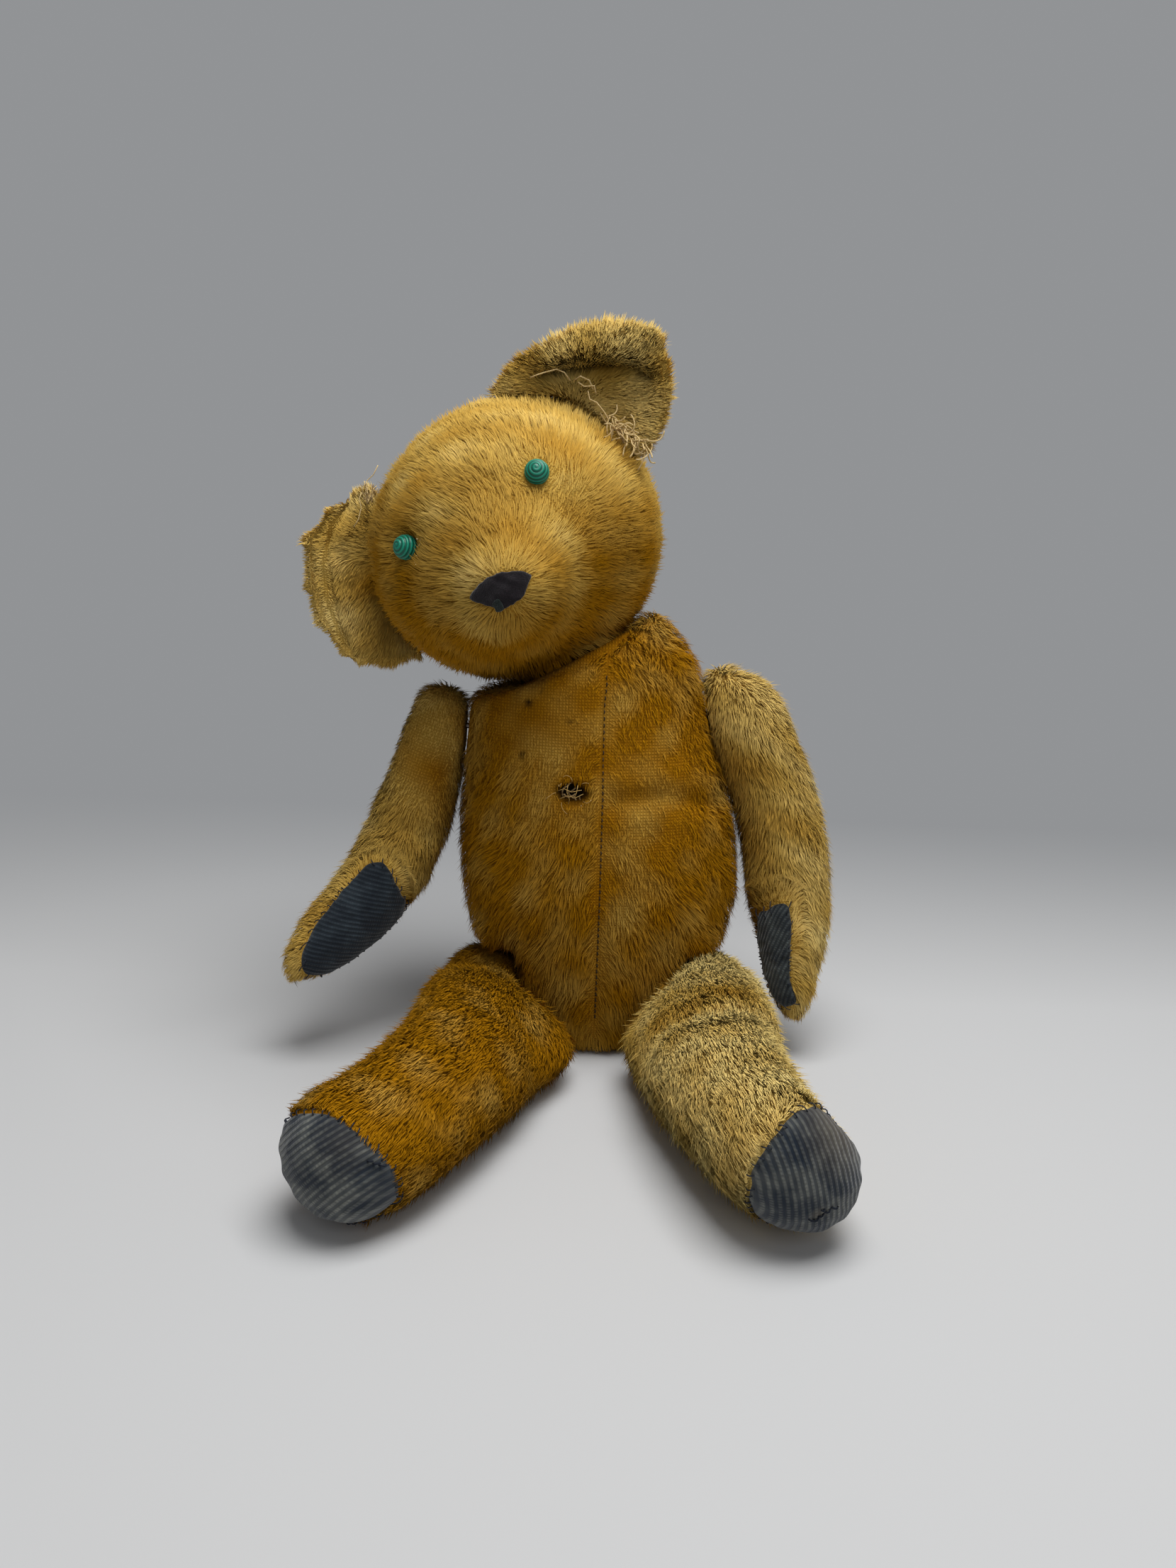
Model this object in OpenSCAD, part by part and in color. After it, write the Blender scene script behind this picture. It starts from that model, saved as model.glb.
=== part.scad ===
// Disc-jointed mohair teddy bear, seated, with a lolling head, denim patches on paws and soles.
// Frame: millimetres, +Z up, the face looks along -Y and the bear's left is +X.
// Origin: middle of the flat seat under the body.

/* [Body] */
// Half width of the belly at its widest
belly_w = 76; // [70:0.5:80]
// Half depth of the belly, front to back
belly_d = 56; // [52:0.5:60]
// Height of the torso's dome above the floor
torso_h = 262; // [256:1:268]

/* [Head] */
// Half width of the skull
head_r = 74; // [70:0.5:77]
// Reach of the snout from the middle of the head
snout_reach = 97; // [92:1:102]
// Half width of the snout behind the nose
snout_r = 29; // [26:0.5:32]
// Roll of the head towards the bear's right
neck_lean = 30; // [28:0.5:32]
// Turn of the face to the bear's right
face_turn = 10; // [6:1:14]
// Diameter of an eye bead
eye_d = 11.5; // [10:0.1:13]
// Distance between the eyes
eye_gap = 70; // [66:1:74]
// Length of an ear's sewn edge
ear_w = 88; // [80:1:94]
// Height of an ear
ear_h = 50; // [44:1:56]

/* [Limbs] */
// Half thickness of an arm, front to back
arm_r = 25; // [23:0.5:26]
// Half height of a thigh
thigh_h = 28; // [26:0.5:30]
// Half height of a leg's flat end at the hip
hip_h = 26; // [24:0.5:27]
// Half width of a thigh
thigh_w = 37; // [34:0.5:38]
// Half height of the right sole
right_sole_h = 27; // [25:0.5:29]
// Half height of the left sole
left_sole_h = 32; // [30:0.5:34]

/* [Cloth] */
// Thickness of the mohair cloth
pile_t = 5; // [4:0.1:6]
// Thickness of the denim patches
denim_t = 1.6; // [1.2:0.1:2]
// Thickness of the felt nose
felt_t = 1.8; // [1.4:0.1:2.4]

/* [Joints] */
// Radius of the discs in the neck
neck_disc_r = 15; // [12:0.5:16]
// Radius of the discs in the shoulders
shoulder_disc_r = 11.5; // [10:0.5:12]
// Radius of the discs in the hips
hip_disc_r = 11.5; // [10:0.5:12]
// Thickness of a hardboard disc
disc_t = 3; // [2.4:0.1:3.6]
// Radius of a steel washer
washer_r = 7; // [5:0.5:8]
// Thickness of a steel washer
washer_t = 1; // [0.8:0.1:1.4]
// Radius of a joint pin
pin_r = 1.5; // [1.2:0.1:1.8]
// Gap between the two cloths at a joint
seat_gap = 0.4; // [0.3:0.1:0.6]
// Clearance between pieces packed together
fit = 0.3; // [0.25:0.05:0.4]

/* [Hidden] */

far = 400;
pin_head_t = 1.5;
pin_head_r = pin_r + 2;
half_gap = seat_gap / 2;
disc_at = half_gap + pile_t + fit;
washer_at = disc_at + disc_t + fit / 2;
head_start = washer_at + washer_t + fit / 2;
pocket_end = head_start + pin_head_t + fit;
arm_disc_r = min(shoulder_disc_r, 0.47 * arm_r);

// ---- smooth curves through stations [x, y, z, half width, half depth] ----
function unit(v) = v / norm(v);
function place(s) = [s[0], s[1], s[2]];
function squared(s) = [s[0], s[1], s[2], s[3] * s[3], s[4] * s[4]];
// Catmull-Rom value between b and c
function between(a, b, c, d, t) =
    b + 0.5 * t * (c - a + t * (2 * a - 5 * b + 4 * c - d + t * (3 * b - a - 3 * c + d)));
// Point of a station list at u from 0 to 1; radii run as squares, which rounds both ends
function along(list, u) =
    let (n = len(list) - 1, i = min(floor(u * n), n - 1))
    between(squared(list[max(i - 1, 0)]), squared(list[i]), squared(list[i + 1]),
            squared(list[min(i + 2, n)]), u * n - i);
function heading(list, u) =
    unit(place(along(list, min(u + 0.02, 1))) - place(along(list, max(u - 0.02, 0))));
function spread(k, rings) = (1 - cos(180 * k / rings)) / 2;
function radius_in(square, inset) =
    let (r = sqrt(max(square, 0.04))) max(r - inset, 0.35 * r);

// ---- stuffed form: rings swept through stations; side points along the half width ----
function ring_at(list, side, inset, u, segs) =
    let (s = along(list, u), t = heading(list, u), b = unit(cross(t, side)), a = cross(b, t),
         shift = inset * (1 - 2 * u))
    [for (j = [0:segs - 1])
        place(s) + t * shift + a * radius_in(s[3], inset) * cos(360 * j / segs)
            + b * radius_in(s[4], inset) * sin(360 * j / segs)];
module stuffed(list, side, inset = 0, rings = 18, segs = 20) {
    first = place(along(list, 0)) + heading(list, 0) * inset;
    last = place(along(list, 1)) - heading(list, 1) * inset;
    middle = [for (k = [1:rings - 1]) each ring_at(list, side, inset, spread(k, rings), segs)];
    points = concat([first], middle, [last]);
    top = len(points) - 1;
    next = [for (j = [0:segs - 1]) (j + 1) % segs];
    faces = concat(
        [for (j = [0:segs - 1]) [0, 1 + j, 1 + next[j]]],
        [for (k = [0:rings - 3], j = [0:segs - 1], h = [0, 1])
            let (p = 1 + k * segs, q = p + segs)
            h == 0 ? [p + j, q + j, q + next[j]] : [p + j, q + next[j], p + next[j]]],
        [for (j = [0:segs - 1]) [top, top - segs + next[j], top - segs + j]]);
    polyhedron(points, faces);
}

// ---- joint places: +Z of each joint frame runs along the pin into the limb ----
neck_at = [-15, 0, 211.6];
right_shoulder_at = [-74.6, 1, 171];
left_shoulder_at = [54.6, 2, 184];
hip_x = 42;
hip_y = -12;
hip_z = hip_h + 0.2;
module at_neck() translate(neck_at) rotate([0, -neck_lean, 0]) children();
module at_right_shoulder() translate(right_shoulder_at) rotate([0, -87, 0]) children();
module at_left_shoulder() translate(left_shoulder_at) rotate([0, 79, 0]) children();
module at_right_hip() translate([-hip_x, hip_y, hip_z]) rotate([0, -90, 0]) children();
module at_left_hip() translate([hip_x, hip_y, hip_z]) rotate([0, 90, 0]) children();

// ---- body ----
torso = [
    [0, -6, -14, 0, 0],
    [0, -6, 8, 0.58 * belly_w, 0.7 * belly_d],
    [0, -4, 40, 0.86 * belly_w, 0.88 * belly_d],
    [0, -2, 90, belly_w, belly_d],
    [-4, 0, 135, 0.95 * belly_w, 0.96 * belly_d],
    [-10, 3, 175, 0.9 * belly_w, 0.9 * belly_d],
    [-15, 3, 213, 0.8 * belly_w, 0.78 * belly_d],
    [-15, 2, torso_h, 0, 0]];
hip_socket_r = hip_h + 0.8;
raise_room = 20;
neck_seat_r = 39;
neck_rise = 0.45;

// Everything beyond a joint's seat plane; grow moves the plane back
module beyond(grow) translate([-far, -far, -grow]) cube(2 * far);
// Hollow of the neck: flat round the pin, then rising clear of the jaw as the head turns
module neck_cup(grow) at_neck() translate([0, 0, -half_gap - grow])
    cylinder(h = far, r1 = neck_seat_r + 0.2 * grow, r2 = neck_seat_r + far / neck_rise, $fn = 48);
// Swing room of one thigh: round the pin, forward of it and down behind it
module thigh_room(s, grow) {
    r = hip_socket_r + grow;
    inner = hip_x - half_gap - grow;
    translate([s * (inner + far / 2), hip_y, hip_z]) {
        rotate([0, 90, 0]) cylinder(h = far, r = r, center = true, $fn = 40);
        rotate([-raise_room, 0, 0]) translate([-far / 2, -far, r - far]) cube(far);
        translate([-far / 2, r - far, -far]) cube(far);
    }
}
module seat_cuts(grow) {
    neck_cup(grow);
    at_right_shoulder() beyond(half_gap + grow);
    at_left_shoulder() beyond(half_gap + grow);
    for (s = [-1, 1]) thigh_room(s, grow);
    translate([-far, -far, grow - 2 * far]) cube(2 * far);
}
module torso_form(inset = 0, rings = 18, segs = 24) stuffed(torso, [1, 0, 0], inset, rings, segs);
module torso_hollow(inset) difference() {
    torso_form(inset, 12, 20);
    seat_cuts(inset);
}
module pin_bore() cylinder(h = 60, r = pin_r + fit, center = true, $fn = 14);
// Ragged hole worn through the chest
module chest_hole() translate([-16, -20, 146]) rotate([90, 0, 0]) linear_extrude(60)
    polygon([for (k = [0:9]) let (f = 36 * k, r = 5.2 + 0.9 * cos(3 * f))
        [1.15 * r * cos(f), 0.8 * r * sin(f)]]);

module body_skin() color("goldenrod") difference() {
    torso_form();
    seat_cuts(0);
    torso_hollow(pile_t);
    at_neck() pin_bore();
    at_right_shoulder() pin_bore();
    at_left_shoulder() pin_bore();
    at_right_hip() pin_bore();
    at_left_hip() pin_bore();
    chest_hole();
}
// Room for a disc, its washer and the pin's head on the limb side of a joint
module pocket(r) translate([0, 0, half_gap + pile_t - 1])
    cylinder(h = pocket_end - half_gap - pile_t + 1, r = r + fit, $fn = 24);
module other_side() mirror([0, 0, 1]) children();
module body_stuffing() color("khaki") difference() {
    torso_hollow(pile_t + fit);
    at_neck() other_side() pocket(neck_disc_r);
    at_right_shoulder() other_side() pocket(arm_disc_r);
    at_left_shoulder() other_side() pocket(arm_disc_r);
    at_right_hip() other_side() pocket(hip_disc_r);
    at_left_hip() other_side() pocket(hip_disc_r);
}

// ---- head, in its own frame: +Z along the neck pin, the face along -Y ----
head_rise = head_r - 4;
module in_head() at_neck() translate([0, 0, head_rise]) rotate([0, 0, -face_turn]) children();
skull = [
    [3, -snout_reach, -21, 0, 0],
    [3, -snout_reach + 5, -21, 0.6 * snout_r, 0.52 * snout_r],
    [2.5, -snout_reach + 18, -20, snout_r, 0.9 * snout_r],
    [0, -61, -15, 0.63 * head_r, 0.56 * head_r],
    [-2, -40, -7, 0.91 * head_r, 0.81 * head_r],
    [-2, -12, -2, 1.05 * head_r, 0.98 * head_r],
    [-2, 20, -1, 1.06 * head_r, head_r],
    [-1, 48, -1, 0.86 * head_r, 0.83 * head_r],
    [0, 67, 1, 0.54 * head_r, 0.54 * head_r],
    [0, 77, 2, 0, 0]];
module skull_form(inset = 0, rings = 18, segs = 24) in_head() stuffed(skull, [1, 0, 0], inset, rings, segs);
module under(grow) mirror([0, 0, 1]) beyond(grow);
module head_hollow(inset) difference() {
    skull_form(inset, 12, 20);
    at_neck() under(half_gap + inset);
}
eye_x = eye_gap / 2;
eye_r = eye_d / 2;
eye_ridge = 0.05;
module at_eye(s) in_head() translate([s * eye_x, -56.5, 18.5])
    rotate([0, 0, s * 32]) rotate([76, 0, 0]) children();
module eye_socket() cylinder(h = 30, r = eye_r * (1 + eye_ridge) + fit, $fn = 20);
module head_skin() color("goldenrod") difference() {
    skull_form();
    at_neck() under(half_gap);
    head_hollow(pile_t);
    at_neck() pin_bore();
    for (s = [-1, 1]) at_eye(s) eye_socket();
}
module head_stuffing() color("khaki") difference() {
    head_hollow(pile_t + fit);
    at_neck() pocket(neck_disc_r);
    for (s = [-1, 1]) at_eye(s) eye_socket();
}

// Wound bead: a globe whose ridge climbs to the crown in a spiral
module eye_bead() {
    rings = 12;
    segs = 12;
    turns = 3.5;
    stop = 125;
    function bead_r(p, q) = eye_r * (1 + eye_ridge * cos(360 * turns * p / 180 - q));
    ring = [for (k = [1:rings]) let (p = k * stop / rings)
        [for (j = [0:segs - 1]) let (q = 360 * j / segs, r = bead_r(p, q))
            [r * sin(p) * cos(q), r * sin(p) * sin(q), r * cos(p)]]];
    points = concat([[0, 0, eye_r]], [for (r = ring) each r], [[0, 0, eye_r * cos(stop)]]);
    last = len(points) - 1;
    next = [for (j = [0:segs - 1]) (j + 1) % segs];
    faces = concat(
        [for (j = [0:segs - 1]) [0, 1 + next[j], 1 + j]],
        [for (k = [0:rings - 2], j = [0:segs - 1], h = [0, 1])
            let (a = 1 + k * segs, b = a + segs)
            h == 0 ? [a + j, b + next[j], b + j] : [a + j, a + next[j], b + next[j]]],
        [for (j = [0:segs - 1]) [last, last - segs + j, last - segs + next[j]]]);
    polyhedron(points, faces);
}
module eye(s) color("mediumseagreen") at_eye(s) translate([0, 0, 0.62 * eye_r + fit]) eye_bead();
module left_eye() eye(1);
module right_eye() eye(-1);

// Cupped ear: doubled cloth, half round, whose rim leans forward; skew pushes the crown sideways
module ear_form(w, h, cup, curl, skew, thick) {
    spokes = 12;
    rows = 5;
    root = 8;
    function ear_at(i, k, face) =
        let (f = 180 * i / spokes, e = k / rows, roll = curl * pow(max(e - 0.55, 0) / 0.45, 2),
             square = 1 / pow(pow(abs(cos(f)), 2.6) + pow(abs(sin(f)), 2.6), 1 / 2.6))
        [w / 2 * e * square * cos(f) + skew * e * sin(f),
         -cup * e * e - roll * sin(f) + face * thick / 2 * sqrt(max(1 - pow(e, 4), 0)),
         h * e * square * sin(f) - root * (1 - e) - 0.6 * roll * sin(f)];
    function sheet(face) = [for (k = [0:rows - 1], i = [0:spokes]) ear_at(i, k, face)];
    n = spokes + 1;
    m = n * rows;
    rim = [for (i = [0:spokes]) ear_at(i, rows, 0)];
    points = concat(sheet(-1), sheet(1), rim);
    faces = concat(
        [for (k = [0:rows - 2], i = [0:spokes - 1], h = [0, 1]) let (a = k * n + i)
            h == 0 ? [a, a + 1, a + n + 1] : [a, a + n + 1, a + n]],
        [for (k = [0:rows - 2], i = [0:spokes - 1], h = [0, 1]) let (a = m + k * n + i)
            h == 0 ? [a, a + n + 1, a + 1] : [a, a + n, a + n + 1]],
        [for (i = [0:spokes - 1], h = [0, 1]) let (a = (rows - 1) * n + i, b = 2 * m + i)
            h == 0 ? [a, a + 1, b + 1] : [a, b + 1, b]],
        [for (i = [0:spokes - 1], h = [0, 1]) let (a = m + (rows - 1) * n + i, b = 2 * m + i)
            h == 0 ? [a, b + 1, a + 1] : [a, b, b + 1]],
        [for (k = [0:rows - 2], h = [0, 1]) let (a = k * n, b = m + a)
            h == 0 ? [a, a + n, b + n] : [a, b + n, b]],
        [for (k = [0:rows - 2], h = [0, 1]) let (a = k * n + spokes, b = m + a)
            h == 0 ? [a, b + n, a + n] : [a, b, b + n]],
        [let (a = (rows - 1) * n) [a, 2 * m, a + m]],
        [let (a = (rows - 1) * n + spokes) [a, a + m, 2 * m + spokes]]);
    polyhedron(points, faces);
}
module left_ear() color("wheat") difference() {
    in_head() rotate([0, 55, 0]) translate([0, 4, head_r - 8]) rotate([0, -6, 0])
        ear_form(0.95 * ear_w, 1.22 * ear_h, 8, 12, 13, 9);
    skull_form(-fit / 2);
}
module right_ear() color("wheat") difference() {
    in_head() rotate([0, -77, 0]) translate([0, 0, head_r - 8])
        ear_form(1.04 * ear_w, 1.08 * ear_h, 14, 3, -3, 9);
    skull_form(-fit / 2);
}

// Felt nose: a leaf laid over the tip of the snout
module nose_leaf() polygon([for (k = [0:11]) let (f = 30 * k, r = 11.5 + 4.5 * cos(2 * f) + 1.6 * sin(3 * f))
    [r * cos(f), 0.78 * r * sin(f)]]);
module snout_felt(t) difference() {
    skull_form(-fit / 2 - t);
    skull_form(-fit / 2);
}
module nose() color("#2b2030") intersection() {
    snout_felt(felt_t);
    in_head() translate([4, 0, -18.5]) rotate([90, 0, 0]) linear_extrude(120) nose_leaf();
}
module nose_stitch() color("#26352f") intersection() {
    snout_felt(1.5 * felt_t);
    in_head() translate([3.5, 0, -31.2]) rotate([90, 0, 0]) cylinder(h = 120, r = 2.8, $fn = 14);
}

// ---- arms ----
right_arm = [
    [-90, 1, 195, 0, 0],
    [-90, 1, 188, 0.6 * arm_r, 0.7 * arm_r],
    [right_shoulder_at[0] - 0.576 * arm_r, 1, 171, 0.84 * arm_r, 0.93 * arm_r],
    [-98, -3, 142, 0.84 * arm_r, arm_r],
    [-107, -11, 110, 0.9 * arm_r, arm_r],
    [-121, -27, 83, 0.86 * arm_r, 0.94 * arm_r],
    [-140, -46, 64, 0.76 * arm_r, 0.78 * arm_r],
    [-152, -60, 53, 0.5 * arm_r, 0.52 * arm_r],
    [-159, -67, 46, 0, 0]];
left_arm = [
    [70, 2, 208, 0, 0],
    [69, 2, 203, 0.7 * arm_r, 0.7 * arm_r],
    [71.5, 2, 184, 1.01 * arm_r, 0.96 * arm_r],
    [87, 0, 158, 0.92 * arm_r, 1.02 * arm_r],
    [99, -4, 125, 0.93 * arm_r, 1.02 * arm_r],
    [106, -12, 90, 0.88 * arm_r, 0.96 * arm_r],
    [109, -24, 56, 0.72 * arm_r, 0.8 * arm_r],
    [111, -33, 33, 0.5 * arm_r, 0.56 * arm_r],
    [112, -38, 19, 0, 0]];
module right_arm_form(inset = 0, rings = 15, segs = 16) stuffed(right_arm, [1, 0, 0], inset, rings, segs);
module left_arm_form(inset = 0, rings = 15, segs = 16) stuffed(left_arm, [1, 0, 0], inset, rings, segs);
module right_arm_hollow(inset) difference() {
    right_arm_form(inset, 10, 12);
    at_right_shoulder() under(half_gap + inset);
}
module left_arm_hollow(inset) difference() {
    left_arm_form(inset, 10, 12);
    at_left_shoulder() under(half_gap + inset);
}
module right_arm_skin() color("goldenrod") difference() {
    right_arm_form();
    at_right_shoulder() under(half_gap);
    right_arm_hollow(pile_t);
    at_right_shoulder() pin_bore();
}
module left_arm_skin() color("goldenrod") difference() {
    left_arm_form();
    at_left_shoulder() under(half_gap);
    left_arm_hollow(pile_t);
    at_left_shoulder() pin_bore();
}
module right_arm_stuffing() color("khaki") difference() {
    right_arm_hollow(pile_t + fit);
    at_right_shoulder() pocket(arm_disc_r);
}
module left_arm_stuffing() color("khaki") difference() {
    left_arm_hollow(pile_t + fit);
    at_left_shoulder() pocket(arm_disc_r);
}
// Oval punch that cuts a patch: long axis turned by roll, facing -Y turned by yaw and pitch
function middle(list, i) = (place(list[i]) + place(list[i + 1])) / 2;
module punch(at, yaw, pitch, roll, long, wide) translate(at) rotate([0, 0, yaw]) rotate([90 - pitch, 0, 0])
    rotate([0, 0, roll]) linear_extrude(60)
    polygon([for (k = [0:23]) [long / 2 * cos(15 * k), wide / 2 * sin(15 * k)]]);
module right_paw_pad() color("steelblue") intersection() {
    difference() {
        right_arm_form(-fit / 2 - denim_t);
        right_arm_form(-fit / 2);
    }
    punch(middle(right_arm, 5) + [0, -4, -2], 16, 0, 47, 3.36 * arm_r, 1.6 * arm_r);
}
module left_paw_pad() color("slategray") intersection() {
    difference() {
        left_arm_form(-fit / 2 - denim_t);
        left_arm_form(-fit / 2);
    }
    punch(place(left_arm[6]) + [-0.32 * arm_r, 2, -4], -28, 8, -76, 3.2 * arm_r, 1.2 * arm_r);
}

// ---- legs ----
foot_z = 2.4;
thigh_lean = 32;
right_leg = [
    [-60, 14, hip_z, 0, 0],
    [-60, 5, hip_z, 0.57 * thigh_w, 0.75 * hip_h],
    [-61, -12, hip_z - 0.3, 0.7 * thigh_w, 0.99 * hip_h],
    [-57, -60, 0.98 * thigh_h + 0.4, 1.02 * thigh_w, 0.8 * thigh_h],
    [-58, -106, 1.07 * thigh_h + 0.4, thigh_w, 0.98 * thigh_h],
    [-70, -148, 1.08 * thigh_h + 0.6, 0.88 * thigh_w, 1.05 * thigh_h],
    [-89, -190, right_sole_h + foot_z, 0.84 * thigh_w, right_sole_h],
    [-106, -213, right_sole_h + foot_z, 0.73 * thigh_w, 0.93 * right_sole_h],
    [-115, -224, right_sole_h + foot_z - 1, 0, 0]];
left_leg = [
    [59, 14, hip_z, 0, 0],
    [59, 5, hip_z, 0.54 * thigh_w, 0.75 * hip_h],
    [60, -12, hip_z + 1, 0.66 * thigh_w, hip_h],
    [56, -60, 1.06 * thigh_h + 0.4, thigh_w, 0.94 * thigh_h],
    [55, -106, 1.14 * thigh_h + 0.4, thigh_w, 1.08 * thigh_h],
    [61, -148, 1.16 * thigh_h + 0.6, 0.88 * thigh_w, 1.15 * thigh_h],
    [73, -191, left_sole_h + foot_z, 0.8 * thigh_w, left_sole_h],
    [84, -216, left_sole_h + foot_z, 0.68 * thigh_w, 0.95 * left_sole_h],
    [89, -228, left_sole_h + foot_z, 0, 0]];
belly_room_r = 50;
// The part of a leg that would stand in the body's way, inside the seat plane and near the pin
module crotch_cut(grow) translate([0, 0, half_gap + grow - far])
    cylinder(h = far, r = belly_room_r + grow, $fn = 40);
module right_leg_form(inset = 0, rings = 15, segs = 18)
    stuffed(right_leg, [cos(thigh_lean), 0, -sin(thigh_lean)], inset, rings, segs);
module left_leg_form(inset = 0, rings = 15, segs = 18)
    stuffed(left_leg, [cos(thigh_lean), 0, sin(thigh_lean)], inset, rings, segs);
module right_leg_hollow(inset) difference() {
    right_leg_form(inset, 11, 12);
    at_right_hip() crotch_cut(inset);
}
module left_leg_hollow(inset) difference() {
    left_leg_form(inset, 11, 12);
    at_left_hip() crotch_cut(inset);
}
module right_leg_skin() color("goldenrod") difference() {
    right_leg_form();
    at_right_hip() crotch_cut(0);
    right_leg_hollow(pile_t);
    at_right_hip() pin_bore();
}
module left_leg_skin() color("goldenrod") difference() {
    left_leg_form();
    at_left_hip() crotch_cut(0);
    left_leg_hollow(pile_t);
    at_left_hip() pin_bore();
}
module right_leg_stuffing() color("khaki") difference() {
    right_leg_hollow(pile_t + fit);
    at_right_hip() pocket(hip_disc_r);
}
module left_leg_stuffing() color("khaki") difference() {
    left_leg_hollow(pile_t + fit);
    at_left_hip() pocket(hip_disc_r);
}
// Slab in front of a slanting plane, from which a sole is cut
module sole_side(at, yaw, pitch) translate(at) rotate([0, 0, yaw]) rotate([-pitch, 0, 0])
    translate([-far / 2, -far, -far / 2]) cube(far);
module right_foot_pad() color("slategray") intersection() {
    difference() {
        right_leg_form(-fit / 2 - denim_t);
        right_leg_form(-fit / 2);
    }
    sole_side(place(right_leg[7]) + [2, 6, 0], -36, 0);
}
module left_foot_pad() color("slategray") intersection() {
    difference() {
        left_leg_form(-fit / 2 - denim_t);
        left_leg_form(-fit / 2);
    }
    sole_side(place(left_leg[7]) + [0, 6, 0], 24, -8);
}

// ---- joint hardware ----
module ring(r, t, bore) difference() {
    cylinder(h = t, r = r, $fn = 24);
    translate([0, 0, -1]) cylinder(h = t + 2, r = bore, $fn = 14);
}
module disc(r) color("peru") translate([0, 0, disc_at]) ring(r, disc_t, pin_r + fit);
module washer() color("silver") translate([0, 0, washer_at]) ring(washer_r, washer_t, pin_r + fit);
module pin() color("darkgray") {
    cylinder(h = 2 * head_start, r = pin_r, center = true, $fn = 14);
    for (s = [0, 1]) mirror([0, 0, s]) translate([0, 0, head_start])
        cylinder(h = pin_head_t, r = pin_head_r, $fn = 14);
}
module neck_pin() at_neck() pin();
module neck_body_disc() at_neck() other_side() disc(neck_disc_r);
module neck_body_washer() at_neck() other_side() washer();
module neck_head_disc() at_neck() disc(neck_disc_r);
module neck_head_washer() at_neck() washer();
module right_shoulder_pin() at_right_shoulder() pin();
module right_shoulder_body_disc() at_right_shoulder() other_side() disc(arm_disc_r);
module right_shoulder_body_washer() at_right_shoulder() other_side() washer();
module right_shoulder_arm_disc() at_right_shoulder() disc(arm_disc_r);
module right_shoulder_arm_washer() at_right_shoulder() washer();
module left_shoulder_pin() at_left_shoulder() pin();
module left_shoulder_body_disc() at_left_shoulder() other_side() disc(arm_disc_r);
module left_shoulder_body_washer() at_left_shoulder() other_side() washer();
module left_shoulder_arm_disc() at_left_shoulder() disc(arm_disc_r);
module left_shoulder_arm_washer() at_left_shoulder() washer();
module right_hip_pin() at_right_hip() pin();
module right_hip_body_disc() at_right_hip() other_side() disc(hip_disc_r);
module right_hip_body_washer() at_right_hip() other_side() washer();
module right_hip_leg_disc() at_right_hip() disc(hip_disc_r);
module right_hip_leg_washer() at_right_hip() washer();
module left_hip_pin() at_left_hip() pin();
module left_hip_body_disc() at_left_hip() other_side() disc(hip_disc_r);
module left_hip_body_washer() at_left_hip() other_side() washer();
module left_hip_leg_disc() at_left_hip() disc(hip_disc_r);
module left_hip_leg_washer() at_left_hip() washer();

body_skin();
body_stuffing();
head_skin();
head_stuffing();
left_ear();
right_ear();
left_eye();
right_eye();
nose();
nose_stitch();
right_arm_skin();
right_arm_stuffing();
right_paw_pad();
left_arm_skin();
left_arm_stuffing();
left_paw_pad();
right_leg_skin();
right_leg_stuffing();
right_foot_pad();
left_leg_skin();
left_leg_stuffing();
left_foot_pad();
neck_pin();
neck_body_disc();
neck_body_washer();
neck_head_disc();
neck_head_washer();
right_shoulder_pin();
right_shoulder_body_disc();
right_shoulder_body_washer();
right_shoulder_arm_disc();
right_shoulder_arm_washer();
left_shoulder_pin();
left_shoulder_body_disc();
left_shoulder_body_washer();
left_shoulder_arm_disc();
left_shoulder_arm_washer();
right_hip_pin();
right_hip_body_disc();
right_hip_body_washer();
right_hip_leg_disc();
right_hip_leg_washer();
left_hip_pin();
left_hip_body_disc();
left_hip_body_washer();
left_hip_leg_disc();
left_hip_leg_washer();
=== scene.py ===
"""Threadbare mohair bear: soft forms, pile, denim patches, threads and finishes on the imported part."""

import logging
import math
from dataclasses import dataclass, field
from enum import Enum
from typing import Callable, Iterable, Optional, Sequence

import bpy
import numpy as np
from mathutils import Matrix, Vector
from mathutils.bvhtree import BVHTree


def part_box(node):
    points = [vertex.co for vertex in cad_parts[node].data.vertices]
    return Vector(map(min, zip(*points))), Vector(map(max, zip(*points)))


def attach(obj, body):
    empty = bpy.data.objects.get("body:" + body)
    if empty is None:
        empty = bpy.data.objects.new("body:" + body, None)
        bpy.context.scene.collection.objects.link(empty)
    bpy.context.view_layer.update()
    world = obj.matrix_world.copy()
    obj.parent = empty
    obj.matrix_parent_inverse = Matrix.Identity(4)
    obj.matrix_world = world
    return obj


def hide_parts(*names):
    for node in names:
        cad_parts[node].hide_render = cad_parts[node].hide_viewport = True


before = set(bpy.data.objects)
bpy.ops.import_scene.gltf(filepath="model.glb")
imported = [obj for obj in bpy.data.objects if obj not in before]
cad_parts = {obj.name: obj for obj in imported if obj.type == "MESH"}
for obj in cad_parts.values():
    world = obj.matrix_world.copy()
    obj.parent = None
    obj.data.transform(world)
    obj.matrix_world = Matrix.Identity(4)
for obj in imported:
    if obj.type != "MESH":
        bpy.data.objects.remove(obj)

MM = 0.001
# Least heights over the floor, in millimetres
CLOTH_FLOOR, ROOT_FLOOR, FIBRE_FLOOR, PATCH_FLOOR = 0.3, 0.8, 0.35, 0.4
# Share of the fibres that the barest place has lost, how quickly, and how much shorter the rest are
THINNED, THIN_CURVE, WORN_SHORT = 0.80, 1.3, 0.74
# Within this reach of another part, in millimetres, a fibre is no longer than this plus the gap
CROWDED, CROWDED_LENGTH = 6.0, 5.0
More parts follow.
